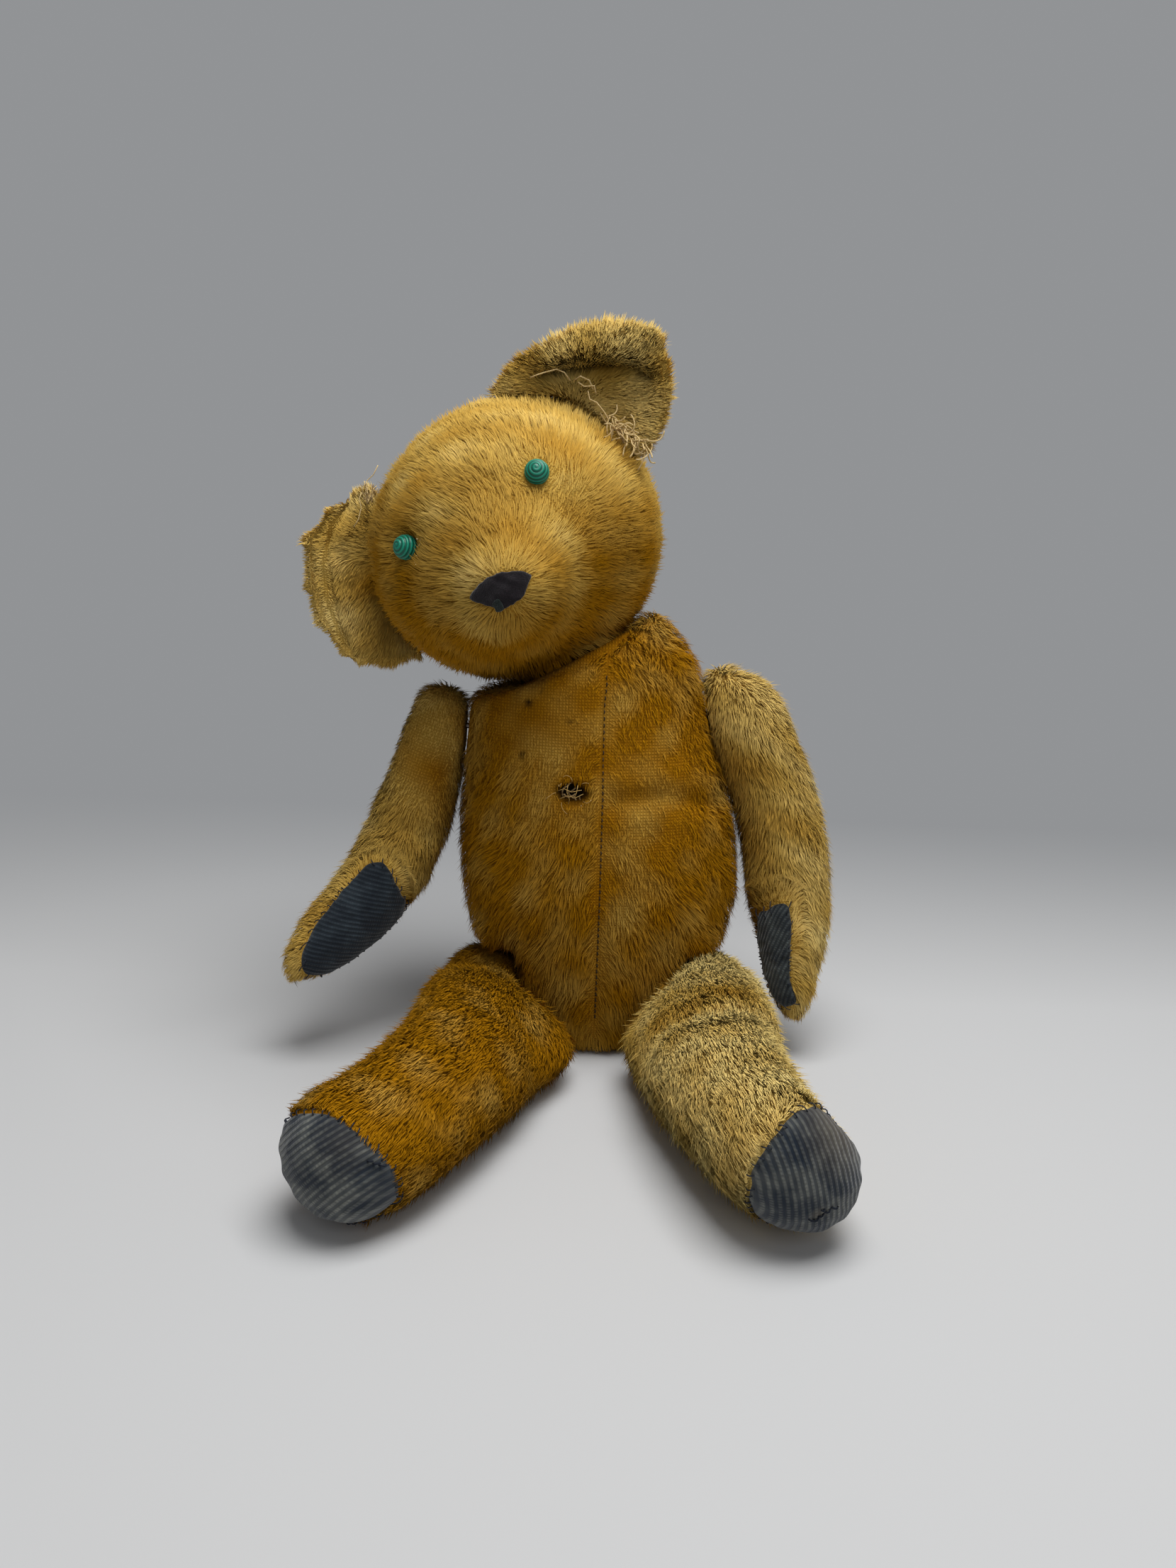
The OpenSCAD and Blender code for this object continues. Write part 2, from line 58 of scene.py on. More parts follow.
# How much a loose fibre stands up, in degrees, below and above its middle
LOOSE_RISE, LOOSE_FALL = 16, 34
# Thickness of the denim and its height over the cloth, in millimetres; share of a patch inside its flat hem
DENIM_THICK, SOLE_LIFT, PAW_LIFT, SMOOTH_HEM = 0.9, 1.5, 2.2, 0.97
log = logging.getLogger("bear")
Point = tuple[float, float, float]
Colour = tuple[float, float, float]


# ---------------------------------------------------------------- shader trees
class Tree:
    """A material's node tree, with short calls for the nodes that the finishes share."""

    def __init__(self, name: str) -> None:
        """Starts an empty material of that name."""
        self.material = bpy.data.materials.new(name)
        self.material.use_nodes = True
        self.nodes = self.material.node_tree.nodes
        self.links = self.material.node_tree.links
        self.nodes.clear()
        self.out = self.nodes.new("ShaderNodeOutputMaterial")
        self.shader = self.nodes.new("ShaderNodeBsdfPrincipled")
        self.links.new(self.shader.outputs[0], self.out.inputs["Surface"])

    def add(self, kind: str, inputs: Optional[dict] = None, **settings: object) -> bpy.types.Node:
        """Adds a node.

        Args:
            kind: The node's type, without the leading "ShaderNode".
            inputs: Values or output sockets for its inputs, by name or index.
            settings: Properties of the node.

        Returns:
            The new node.
        """
        node = self.nodes.new("ShaderNode" + kind)
        for key, value in settings.items():
            setattr(node, key, value)
        for key, value in (inputs or {}).items():
            self.put(node.inputs[key], value)
        return node

    def put(self, socket: bpy.types.NodeSocket, value: object) -> None:
        """Sets a socket's value, or links an output to it."""
        if isinstance(value, bpy.types.NodeSocket):
            self.links.new(value, socket)
        else:
            socket.default_value = value

    def set(self, **values: object) -> None:
        """Sets the shader's sockets; a name's underscores stand for spaces."""
        for key, value in values.items():
            self.put(self.shader.inputs[key.replace("_", " ")], value)

    def place(self, turn: Point = (0, 0, 0)) -> bpy.types.NodeSocket:
        """Object coordinates in metres, turned by the given angles in degrees."""
        coordinates = self.add("TexCoord").outputs["Object"]
        if turn == (0, 0, 0):
            return coordinates
        angles = tuple(math.radians(a) for a in turn)
        return self.add("Mapping", {"Vector": coordinates, "Rotation": angles}).outputs[0]

    def attribute(self, name: str) -> bpy.types.NodeSocket:
        """Colour of a mesh attribute."""
        return self.add("Attribute", attribute_name=name).outputs["Color"]

    def noise(self, vector: bpy.types.NodeSocket, pitch: float, detail: float = 3) -> bpy.types.NodeSocket:
        """Noise from 0 to 1 whose lumps are about pitch millimetres across."""
        values = {"Vector": vector, "Scale": 1 / (pitch * MM), "Detail": detail}
        return self.add("TexNoise", values).outputs[0]

    def bands(self, vector: bpy.types.NodeSocket, pitch: float, axis: str, wobble: float = 0.6
              ) -> bpy.types.NodeSocket:
        """Soft stripes across an axis, pitch millimetres apart."""
        values = {"Vector": vector, "Scale": 0.314 / (pitch * MM), "Distortion": wobble,
                  "Detail": 2.0, "Detail Scale": 1.5}
        return self.add("TexWave", values, wave_type="BANDS", bands_direction=axis).outputs["Fac"]

    def ramp(self, value: bpy.types.NodeSocket, low: float, high: float) -> bpy.types.NodeSocket:
        """Value stretched so that low becomes 0 and high becomes 1."""
        return self.add("MapRange", {"Value": value, "From Min": low, "From Max": high}).outputs[0]

    def mix(self, share: object, a: object, b: object, kind: str = "MIX") -> bpy.types.NodeSocket:
        """Mix of two colours."""
        node = self.add("Mix", data_type="RGBA", blend_type=kind)
        for socket, value in ((node.inputs[0], share), (node.inputs[6], a), (node.inputs[7], b)):
            if isinstance(value, tuple):
                value = (*value, 1.0)
            self.put(socket, value)
        return node.outputs[2]

    def maths(self, kind: str, a: object, b: object = 0.0) -> bpy.types.NodeSocket:
        """Result of a sum, product or other operation."""
        return self.add("Math", {0: a, 1: b}, operation=kind).outputs[0]

    def bump(self, height: bpy.types.NodeSocket, depth: float, strength: float = 1.0) -> None:
        """Raises the surface by height, depth millimetres high at most."""
        values = {"Height": height, "Distance": depth * MM, "Strength": strength}
        self.put(self.shader.inputs["Normal"], self.add("Bump", values).outputs[0])


@dataclass(frozen=True)
class PileFinish:
    """Mohair fibres; their colour comes with each fibre."""

    name: str = "mohair_pile"

    def make(self) -> bpy.types.Material:
        """Builds the material."""
        tree = Tree(self.name)
        streak = tree.noise(tree.place(), 2.4, 2)
        colour = tree.mix(0.2, tree.attribute("hue"), tree.ramp(streak, 0.2, 0.75), "MULTIPLY")
        tree.set(Base_Color=colour, Roughness=0.65, Specular_IOR_Level=0.04, Sheen_Weight=0.05,
                 Sheen_Roughness=0.4)
        tree.set(Sheen_Tint=(1.0, 0.65, 0.18, 1.0), Specular_Tint=(1.0, 0.75, 0.30, 1.0))
        return tree.material


@dataclass(frozen=True)
class BackingFinish:
    """Woven ground of the mohair cloth, bare where the pile has gone."""

    name: str
    turn: Point = (0, 0, 0)
    pitch: float = 1.6

    def make(self) -> bpy.types.Material:
        """Builds the material."""
        tree = Tree(self.name)
        place = tree.place(self.turn)
        warp = tree.bands(place, self.pitch, "X")
        weft = tree.bands(place, self.pitch * 0.95, "Z")
        grid = tree.maths("MULTIPLY", tree.ramp(warp, 0.05, 0.75), tree.ramp(weft, 0.05, 0.75))
        fuzz = tree.noise(place, 0.7, 4)
        threads = tree.maths("MULTIPLY", grid, tree.ramp(fuzz, 0.15, 0.6))
        hue = tree.attribute("hue")
        deep = tree.mix(1.0, hue, (0.62, 0.58, 0.46), "MULTIPLY")
        patchy = tree.mix(tree.ramp(tree.noise(place, 9), 0.3, 0.8), (1.0, 1.0, 1.0), (0.78, 0.72, 0.62))
        cloth = tree.mix(threads, deep, hue)
        tree.set(Base_Color=tree.mix(1.0, cloth, patchy, "MULTIPLY"), Roughness=0.9,
                 Specular_IOR_Level=0.04)
        tree.bump(threads, 0.3)
        return tree.material


@dataclass(frozen=True)
class DenimFinish:
    """Worn denim: pale wales over dark ground, with faded and stained patches."""

    name: str
    dark: Colour
    pale: Colour
    slant: float
    fade: float = 0.5
    stain: Colour = (0.10, 0.075, 0.045)
    stain_share: float = 0.35
    pitch: float = 1.4

    def make(self) -> bpy.types.Material:
        """Builds the material."""
        tree = Tree(self.name)
        flat = tree.add("UVMap", uv_map="cloth").outputs[0]
        turned = tree.add("Mapping", {"Vector": flat, "Rotation": (0, 0, math.radians(self.slant))}).outputs[0]
        wales = tree.ramp(tree.bands(turned, self.pitch, "X", 0.5), 0.25, 0.85)
        picks = tree.ramp(tree.bands(turned, self.pitch * 0.6, "Y", 1.5), 0.1, 0.9)
        twill = tree.maths("MULTIPLY", wales, tree.maths("ADD", tree.maths("MULTIPLY", picks, 0.3), 0.7))
        slub = tree.ramp(tree.noise(turned, 2.6, 5), 0.32, 0.68)
        worn = tree.ramp(tree.noise(flat, 13, 4), 0.42, 0.60)
        share = tree.maths("MULTIPLY", twill, tree.maths("ADD", tree.maths("MULTIPLY", slub, 0.8), 0.35))
        faded = tree.mix(tree.maths("MULTIPLY", worn, self.fade), self.dark, self.pale)
        cloth = tree.mix(share, tree.mix(0.7, faded, self.dark), tree.mix(0.75, self.pale, faded))
        marks = tree.maths("MULTIPLY", tree.attribute("stain"), self.stain_share)
        tree.set(Base_Color=tree.mix(marks, cloth, self.stain), Roughness=0.82, Specular_IOR_Level=0.2,
                 Sheen_Weight=0.2)
        tree.bump(twill, 0.35)
        return tree.material


@dataclass(frozen=True)
class FeltFinish:
    """Matted felt."""

    name: str
    dark: Colour
    pale: Colour

    def make(self) -> bpy.types.Material:
        """Builds the material."""
        tree = Tree(self.name)
        place = tree.place()
        fuzz = tree.noise(place, 0.6, 5)
        lumps = tree.noise(place, 3.5, 3)
        share = tree.maths("MULTIPLY", tree.ramp(fuzz, 0.35, 0.75), tree.ramp(lumps, 0.2, 0.8))
        tree.set(Base_Color=tree.mix(share, self.dark, self.pale), Roughness=0.9, Sheen_Weight=0.3,
                 Specular_IOR_Level=0.15)
        tree.bump(fuzz, 0.4)
        return tree.material


@dataclass(frozen=True)
class BeadFinish:
    """Glossy moulded bead, lighter on the ridge of its spiral."""

    name: str = "green_bead"
    groove: Colour = (0.001, 0.075, 0.045)
    ridge: Colour = (0.003, 0.235, 0.145)

    def make(self) -> bpy.types.Material:
        """Builds the material."""
        tree = Tree(self.name)
        body = tree.mix(tree.attribute("ridge"), self.groove, self.ridge)
        tree.set(Base_Color=body, Roughness=0.34, Specular_IOR_Level=0.4)
        return tree.material


@dataclass(frozen=True)
class ThreadFinish:
    """Twisted sewing or warp thread."""

    name: str
    dark: Colour
    pale: Colour

    def make(self) -> bpy.types.Material:
        """Builds the material."""
        tree = Tree(self.name)
        grain = tree.ramp(tree.noise(tree.place(), 0.8, 3), 0.3, 0.7)
        tree.set(Base_Color=tree.mix(grain, self.dark, self.pale), Roughness=0.8, Specular_IOR_Level=0.2)
        return tree.material


@dataclass(frozen=True)
class BoardFinish:
    """Pressed hardboard."""

    name: str = "hardboard"

    def make(self) -> bpy.types.Material:
        """Builds the material."""
        tree = Tree(self.name)
        grain = tree.noise(tree.place(), 0.5, 6)
        tree.set(Base_Color=tree.mix(grain, (0.10, 0.045, 0.018), (0.26, 0.13, 0.055)), Roughness=0.7)
        tree.bump(grain, 0.08)
        return tree.material


@dataclass(frozen=True)
class SteelFinish:
    """Plain rolled steel with a little tarnish."""

    name: str = "steel"

    def make(self) -> bpy.types.Material:
        """Builds the material."""
        tree = Tree(self.name)
        spots = tree.ramp(tree.noise(tree.place(), 2.5, 5), 0.55, 0.75)
        tree.set(Base_Color=tree.mix(spots, (0.42, 0.41, 0.40), (0.16, 0.10, 0.06)), Metallic=1.0,
                 Roughness=tree.add("MapRange", {"Value": spots, "To Min": 0.3, "To Max": 0.6}).outputs[0])
        return tree.material


@dataclass(frozen=True)
class WoodWoolFinish:
    """Packed fine wood shavings."""

    name: str = "wood_wool"

    def make(self) -> bpy.types.Material:
        """Builds the material."""
        tree = Tree(self.name)
        curls = tree.add("TexWave", {"Vector": tree.place(), "Scale": 160.0, "Distortion": 18.0,
                                     "Detail": 4.0}, wave_type="BANDS").outputs["Fac"]
        tree.set(Base_Color=tree.mix(curls, (0.16, 0.085, 0.03), (0.52, 0.37, 0.17)), Roughness=0.8)
        tree.bump(curls, 0.8)
        return tree.material


# ---------------------------------------------------------------- small helpers on meshes
def deselect() -> None:
    """Leaves edit mode with nothing selected."""
    if bpy.context.object and bpy.context.object.mode != "OBJECT":
        bpy.ops.object.mode_set(mode="OBJECT")
    bpy.ops.object.select_all(action="DESELECT")


def choose(thing: bpy.types.Object) -> None:
    """Makes an object the only selected and active one."""
    deselect()
    thing.select_set(True)
    bpy.context.view_layer.objects.active = thing


def apply(thing: bpy.types.Object, kind: str, **settings: object) -> None:
    """Adds a modifier with those settings and applies it."""
    choose(thing)
    modifier = thing.modifiers.new(kind.lower(), kind)
    for key, value in settings.items():
        setattr(modifier, key, value)
    bpy.ops.object.modifier_apply(modifier=modifier.name)


def points_of(mesh: bpy.types.Mesh) -> np.ndarray:
    """Vertex places as an array of rows."""
    out = np.empty(len(mesh.vertices) * 3, np.float32)
    mesh.vertices.foreach_get("co", out)
    return out.reshape(-1, 3).astype(float)


def move_points(mesh: bpy.types.Mesh, places: np.ndarray) -> None:
    """Puts the vertices at those places."""
    mesh.vertices.foreach_set("co", places.astype(np.float32).ravel())
    mesh.update()


def normals_of(mesh: bpy.types.Mesh) -> np.ndarray:
    """Vertex normals as an array of rows."""
    out = np.empty(len(mesh.vertices) * 3, np.float32)
    mesh.vertices.foreach_get("normal", out)
    return out.reshape(-1, 3).astype(float)


def triangles_of(mesh: bpy.types.Mesh) -> np.ndarray:
    """Corner indices of the mesh's triangles."""
    mesh.calc_loop_triangles()
    out = np.empty(len(mesh.loop_triangles) * 3, np.int32)
    mesh.loop_triangles.foreach_get("vertices", out)
    return out.reshape(-1, 3)


def paint(mesh: bpy.types.Mesh, name: str, colours: np.ndarray) -> None:
    """Stores a colour for each vertex."""
    layer = mesh.attributes.new(name, "FLOAT_COLOR", "POINT")
    rgba = np.ones((len(mesh.vertices), 4), np.float32)
    rgba[:, :3] = colours
    layer.data.foreach_set("color", rgba.ravel())


def new_object(name: str, points: np.ndarray, faces: Sequence) -> bpy.types.Object:
    """Makes an object from points in metres and faces of any size."""
    mesh = bpy.data.meshes.new(name)
    mesh.from_pydata([tuple(p) for p in points], [], [tuple(int(i) for i in f) for f in faces])
    thing = bpy.data.objects.new(name, mesh)
    bpy.context.scene.collection.objects.link(thing)
    return thing


def dress(thing: bpy.types.Object, material: bpy.types.Material) -> None:
    """Gives an object one material."""
    thing.data.materials.clear()
    thing.data.materials.append(material)


def unit(rows: np.ndarray) -> np.ndarray:
    """Rows scaled to length one."""
    return rows / np.maximum(np.linalg.norm(rows, axis=-1, keepdims=True), 1e-12)


def ripple(seed: int, pitch: float, waves: int = 7) -> Callable[[np.ndarray], np.ndarray]:
    """A smooth random field from about -1 to 1.

    Args:
        seed: Which field.
        pitch: Rough distance between its hills, in millimetres.
        waves: How many sines are summed.

    Returns:
        A function from places in metres to values.
    """
    rng = np.random.default_rng(seed)
    ways = unit(rng.normal(size=(waves, 3))) * (2 * math.pi / (pitch * MM)) * rng.uniform(0.6, 1.5, (waves, 1))
    shift = rng.uniform(0, 2 * math.pi, waves)
    return lambda places: np.sin(places @ ways.T + shift).sum(1) / math.sqrt(waves / 2) * 0.6


# ---------------------------------------------------------------- places on the cloth
@dataclass(frozen=True)
class Spot:
    """A soft-edged round or oval place on the cloth, in millimetres."""

    at: Point
    radius: float
    strength: float = 1.0
    stretch: Point = (1, 1, 1)
    edge: float = 0.5

    def share(self, places: np.ndarray) -> np.ndarray:
        """How much of the spot each place gets, from 0 to its strength."""
        away = (places / MM - np.array(self.at)) / np.array(self.stretch)
        distance = np.linalg.norm(away, axis=1) / self.radius
        return self.strength * np.clip((1 + self.edge - distance) / (2 * self.edge), 0, 1)


@dataclass(frozen=True)
class Crease:
    """A sewn or pressed line along which the cloth dips, in millimetres."""

    points: tuple[Point, ...]
    depth: float
    width: float
    swell: float = 0.25
    through: Point = (1, 0.15, 1)
    parting: float = 0.0

    def distance(self, places: np.ndarray) -> np.ndarray:
        """Distance from each place to the line, in millimetres."""
        best = np.full(len(places), 1e9)
        for a, b in zip(self.points[:-1], self.points[1:]):
            scale = np.array(self.through)
            start, run = np.array(a) * scale, (np.array(b) - np.array(a)) * scale
            away = places / MM * scale - start
            along = np.clip(away @ run / (run @ run), 0, 1)
            best = np.minimum(best, np.linalg.norm(away - along[:, None] * run, axis=1))
        return best

    def aside(self, places: np.ndarray) -> np.ndarray:
        """Unit direction across the line, away from it, at each place."""
        line = np.array(self.points, float)
        x = np.interp(-places[:, 2] / MM, -line[:, 2], line[:, 0])
        return np.sign(places[:, 0] / MM - x)[:, None] * np.array((1.0, 0.0, 0.0))

    def dip(self, places: np.ndarray) -> np.ndarray:
        """How far each place moves inwards, in millimetres."""
        d = self.distance(places) / self.width
        return self.depth * (np.exp(-d * d) - self.swell * np.exp(-((d - 2.2) ** 2)))


@dataclass(frozen=True)
class Pull:
    """A place where the cloth is drawn aside, in millimetres."""

    at: Point
    radius: float
    move: Point
    stretch: Point = (1, 1, 1)

    def shift(self, places: np.ndarray) -> np.ndarray:
        """How far each place moves, in millimetres."""
        away = (places / MM - np.array(self.at)) / np.array(self.stretch)
        return np.exp(-((np.linalg.norm(away, axis=1) / self.radius) ** 2))[:, None] * np.array(self.move)


class Flow(Enum):
    """How the pile of a form is brushed."""

    ALONG = 1
    AWAY = 2


@dataclass(frozen=True)
class Nap:
    """Lie of the pile: along a direction, or away from a point, near a place."""

    flow: Flow
    vector: Point
    at: Point = (0, 0, 0)
    radius: float = 1e6
    weight: float = 1.0

    def pull(self, places: np.ndarray) -> np.ndarray:
        """The lie's share of the direction at each place."""
        away = places / MM - np.array(self.at)
        near = self.weight * np.exp(-((np.linalg.norm(away, axis=1) / self.radius) ** 2))
        if self.flow is Flow.ALONG:
            way = np.tile(unit(np.array(self.vector, float)), (len(places), 1))
        else:
            way = unit(places / MM - np.array(self.vector))
        return way * near[:, None]


# Mohair tones, as linear colour, from bleached to deep
STRAW = np.array((0.93, 0.80, 0.46))
PALE = np.array((0.95, 0.73, 0.27))
GOLD = np.array((0.64, 0.405, 0.085))
AMBER = np.array((0.42, 0.185, 0.004))


@dataclass(frozen=True)
class Seat:
    """A face that rests against another part or the floor, where the pile is crushed flat."""

    at: Point
    axis: Point
    radius: float
    reach: float = 5.0

    def holds(self, places: np.ndarray, normals: np.ndarray) -> np.ndarray:
        """Whether each place lies on the face."""
        away = places / MM - np.array(self.at)
        axis = unit(np.array(self.axis, float))
        near = (np.abs(away @ axis) < self.reach) & (np.linalg.norm(away, axis=1) < self.radius)
        return near & (np.abs(normals @ axis) > 0.75)


@dataclass
class Pile:
    """Coat of mohair fibres on one form."""

    fibres: int
    length: float
    naps: tuple[Nap, ...]
    width: float = 0.46
    rise: float = 48.0
    fall: float = 77.0
    clump: float = 3.4
    gather: float = 0.26
    stray: float = 0.42
    loose: float = 0.16
    upward: float = 0.0
    seed: int = 1


@dataclass
class SoftForm:
    """A stuffed part of the bear: its cloth, the pile on it and its place in the frame."""

    name: str
    body: str
    nodes: tuple[str, ...]
    pile: Pile
    backing: BackingFinish
    tone: float = 0.5
    tones: tuple[Spot, ...] = ()
    worn: tuple[Spot, ...] = ()
    bare: tuple[Spot, ...] = ()
    creases: tuple[Crease, ...] = ()
    pulls: tuple[Pull, ...] = ()
    seats: tuple[Seat, ...] = ()
    clear: tuple[tuple[Point, float], ...] = ()
    hollow: bool = True
    fatten: float = 0.0
    inset: float = 3.0
    voxel: float = 4.5
    fill: float = 0.9
    cap: float = 1.6
    relax: int = 6
    cloth: Optional[bpy.types.Object] = field(default=None, repr=False)
    coat: Optional[bpy.types.Object] = field(default=None, repr=False)

    # ---- the cloth
    def outer_shell(self) -> bpy.types.Object:
        """Copies the form's CAD skin and keeps only its outside.

        Returns:
            The new object, with the inner wall and the bores taken out and closed over.
        """
        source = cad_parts[self.nodes[0]]
        thing = bpy.data.objects.new(self.name, source.data.copy())
        thing.data.materials.clear()
        bpy.context.scene.collection.objects.link(thing)
        choose(thing)
        bpy.ops.object.mode_set(mode="EDIT")
        bpy.ops.mesh.select_all(action="SELECT")
        bpy.ops.mesh.remove_doubles(threshold=1e-5)
        bpy.ops.mesh.select_all(action="DESELECT")
        bpy.ops.object.mode_set(mode="OBJECT")
        if not self.hollow:
            return thing
        mesh = thing.data
        tree = BVHTree.FromPolygons([v.co for v in mesh.vertices], [p.vertices for p in mesh.polygons])
        for face in mesh.polygons:
            start = face.center + face.normal * 0.05 * MM
            face.select = tree.ray_cast(start, face.normal, 0.2)[0] is not None
        bpy.ops.object.mode_set(mode="EDIT")
        bpy.ops.mesh.delete(type="FACE")
        bpy.ops.mesh.select_all(action="SELECT")
        bpy.ops.mesh.fill_holes(sides=0)
        bpy.ops.mesh.normals_make_consistent(inside=False)
        bpy.ops.object.mode_set(mode="OBJECT")
        return thing

    def depth_of_pile(self, places: np.ndarray, normals: np.ndarray) -> np.ndarray:
        """How far the cloth lies under the pile's outside, in millimetres."""
        depth = np.full(len(places), self.inset)
        for spot in self.worn:
            depth *= 1 - 0.62 * np.clip(spot.share(places), 0, 1)
        for seat in self.seats:
            depth[seat.holds(places, normals)] = 0.2
        return depth

    def inflate(self, thing: bpy.types.Object) -> None:
        """Stuffs the form: cloth under inner pressure, with its movement capped."""
        start = points_of(thing.data)
        modifier = thing.modifiers.new("cloth", "CLOTH")
        cloth = modifier.settings
        cloth.use_pressure = True
        cloth.uniform_pressure_force = 4
        cloth.effector_weights.gravity = 0
        cloth.quality = 5
        modifier.point_cache.frame_end = 20
        scene = bpy.context.scene
        for step in range(1, 21):
            scene.frame_set(step)
        choose(thing)
        bpy.ops.object.modifier_apply(modifier=modifier.name)
        scene.frame_set(1)
        moved = points_of(thing.data) - start
        size = np.linalg.norm(moved, axis=1, keepdims=True)
        most = self.cap * MM
        move_points(thing.data, start + moved * np.minimum(1, most / np.maximum(size, 1e-9)))

    def make_cloth(self) -> None:
        """Makes the form's cloth from its CAD skin."""
        thing = self.outer_shell()
        if self.fatten:
            apply(thing, "DISPLACE", strength=self.fatten * MM, mid_level=0.0)
        apply(thing, "REMESH", mode="VOXEL", voxel_size=self.voxel * MM, adaptivity=0.0)
        apply(thing, "SMOOTH", factor=0.5, iterations=self.relax)
        if self.cap:
            places, normals = points_of(thing.data), normals_of(thing.data)
            move_points(thing.data, places - normals * 0.8 * MM)
            self.inflate(thing)
        apply(thing, "SUBSURF", levels=1, render_levels=1)
        mesh = thing.data
        places, normals = points_of(mesh), normals_of(mesh)
        depth = self.depth_of_pile(places, normals)
        for crease in self.creases:
            depth = depth + crease.dip(places)
        for spot in self.bare:
            depth = depth + min(spot.radius, 6.0) * np.clip(spot.share(places), 0, 1) ** 2
        drawn = sum((pull.shift(places) for pull in self.pulls), np.zeros_like(places))
        places = places - normals * depth[:, None] * MM + drawn * MM
        places[:, 2] = np.maximum(places[:, 2], CLOTH_FLOOR * MM)
        move_points(mesh, places)
        if not self.hollow:
            apply(thing, "SMOOTH", factor=0.5, iterations=self.relax)
            mesh, places = thing.data, points_of(thing.data)
        choose(thing)
        bpy.ops.object.shade_smooth()
        paint(mesh, "hue", self.backing_hue(places))
        dress(thing, self.backing.make())
        self.cloth = thing

    # ---- colour and wear
    def amber(self, places: np.ndarray) -> np.ndarray:
        """Depth of the gold at each place: 0 is bleached straw, 1 is deep amber."""
        depth = np.full(len(places), self.tone)
        for spot in self.tones:
            share = np.clip(spot.share(places) / max(abs(spot.strength), 1e-6), 0, 1)
            target = 1.0 if spot.strength > 0 else -0.4
            depth += (target - depth) * share * abs(spot.strength)
        return np.clip(depth + 0.16 * ripple(self.pile.seed + 50, 26)(places), -0.4, 1)

    def wear(self, places: np.ndarray) -> np.ndarray:
        """How far the pile has worn away at each place, from 0 to 1."""
        worn = np.zeros(len(places))
        for spot in self.worn:
            worn = np.maximum(worn, spot.share(places))
        return np.clip(worn + 0.12 * worn * ripple(self.pile.seed + 70, 9)(places), 0, 1)

    def hue(self, places: np.ndarray) -> np.ndarray:
        """Colour of the pile at each place."""
        depth = self.amber(places)[:, None]
        low = PALE + (GOLD - PALE) * np.clip(depth * 2, 0, 1) + (STRAW - PALE) * np.clip(depth * -2.5, 0, 1)
        return low + (AMBER - low) * np.clip(depth * 2 - 1, 0, 1)

    def backing_hue(self, places: np.ndarray) -> np.ndarray:
        """Colour of the cloth under the pile at each place; inside the holes it is painted near black, as painted
        shade.
        """
        worn = self.wear(places)[:, None]
        under = self.hue(places) * 0.95
        open_cloth = self.hue(places) * 0.82
        colour = under + (open_cloth - under) * worn
        # Inside each hole the dented cloth is painted near black: painted shade in the hole.
        for spot in self.bare:
            share = np.clip(spot.share(places), 0, 1)[:, None]
            colour = colour + (np.array((0.012, 0.007, 0.003)) - colour) * share
        return colour

    # ---- the pile
    def make_pile(self, neighbours: BVHTree, guards: Iterable["Guard"] = ()) -> None:
        """Plants the pile on the cloth.

        Args:
            neighbours: The other parts' outsides, which the fibres keep clear of.
            guards: Patches of other cloth that cover the pile.
        """
        pile = self.pile
        rng = np.random.default_rng(pile.seed)
        mesh = self.cloth.data
        places, normals, faces = points_of(mesh), normals_of(mesh), triangles_of(mesh)
        a, b, c = (places[faces[:, k]] for k in range(3))
        area = np.linalg.norm(np.cross(b - a, c - a), axis=1)
        pick = rng.choice(len(faces), pile.fibres, p=area / area.sum())
        u, v = rng.random((2, pile.fibres))
        flip = u + v > 1
        u[flip], v[flip] = 1 - u[flip], 1 - v[flip]
        weights = np.stack([1 - u - v, u, v], 1)[:, :, None]
        root = (places[faces[pick]] * weights).sum(1)
        out = unit((normals[faces[pick]] * weights).sum(1))
        worn = self.wear(root)
        keep = rng.random(pile.fibres) > THINNED * worn ** THIN_CURVE
        for spot in self.bare:
            keep &= rng.random(pile.fibres) > spot.share(root) * 1.6
        for seat in self.seats:
            keep &= ~seat.holds(root, out)
        for guard in guards:
            keep &= ~guard.covers(root)
        for crease in self.creases:
            if crease.parting:
                keep &= crease.distance(root) > crease.parting
        for centre, radius in self.clear:
            keep &= np.linalg.norm(root / MM - np.array(centre), axis=1) > radius
        keep &= root[:, 2] > ROOT_FLOOR * MM
        root, out, worn = root[keep], out[keep], worn[keep]
        count = len(root)
        # Lie of the pile: brushed direction, turned by slow and quick ripples
        way = sum(nap.pull(root) for nap in pile.naps)
        near = np.ones(count)
        for crease in self.creases:
            if crease.parting:
                share = np.exp(-((crease.distance(root) / 5) ** 2))
                way = way + crease.aside(root) * 1.4 * share[:, None]
                near = np.minimum(near, 1 - 0.45 * share)
        for guard in guards:
            share = np.exp(-((guard.beyond(root) / 6) ** 2))
            way = way + guard.aside(root) * 3.2 * share[:, None]
            near = np.minimum(near, 1 - 0.45 * share)
        for centre, radius in self.clear:
            away = root / MM - np.array(centre)
            share = np.exp(-(np.clip(np.linalg.norm(away, axis=1) / radius - 1, 0, 9) ** 2) / 0.3)
            way = way + unit(away) * 1.5 * share[:, None]
            near = np.minimum(near, 1 - 0.6 * share)
        way = unit(way - out * (way * out).sum(1, keepdims=True))
        side = np.cross(out, way)
        turn = pile.stray * (0.5 * ripple(pile.seed + 1, 34)(root) + 0.45 * ripple(pile.seed + 2, 10)(root)
                             + 0.22 * ripple(pile.seed + 8, 5)(root) + 0.12 * rng.normal(size=count))[:, None]
        way = way * np.cos(turn) + side * np.sin(turn)
        length = pile.length * (1 - WORN_SHORT * worn) * rng.uniform(0.7, 1.12, count)
        length *= near * (1 + 0.10 * ripple(pile.seed + 3, 14)(root))
        for i in range(count):
            _, _, _, gap = neighbours.find_nearest(Vector(root[i] + out[i] * 1.5 * MM), CROWDED * MM)
            if gap is not None:
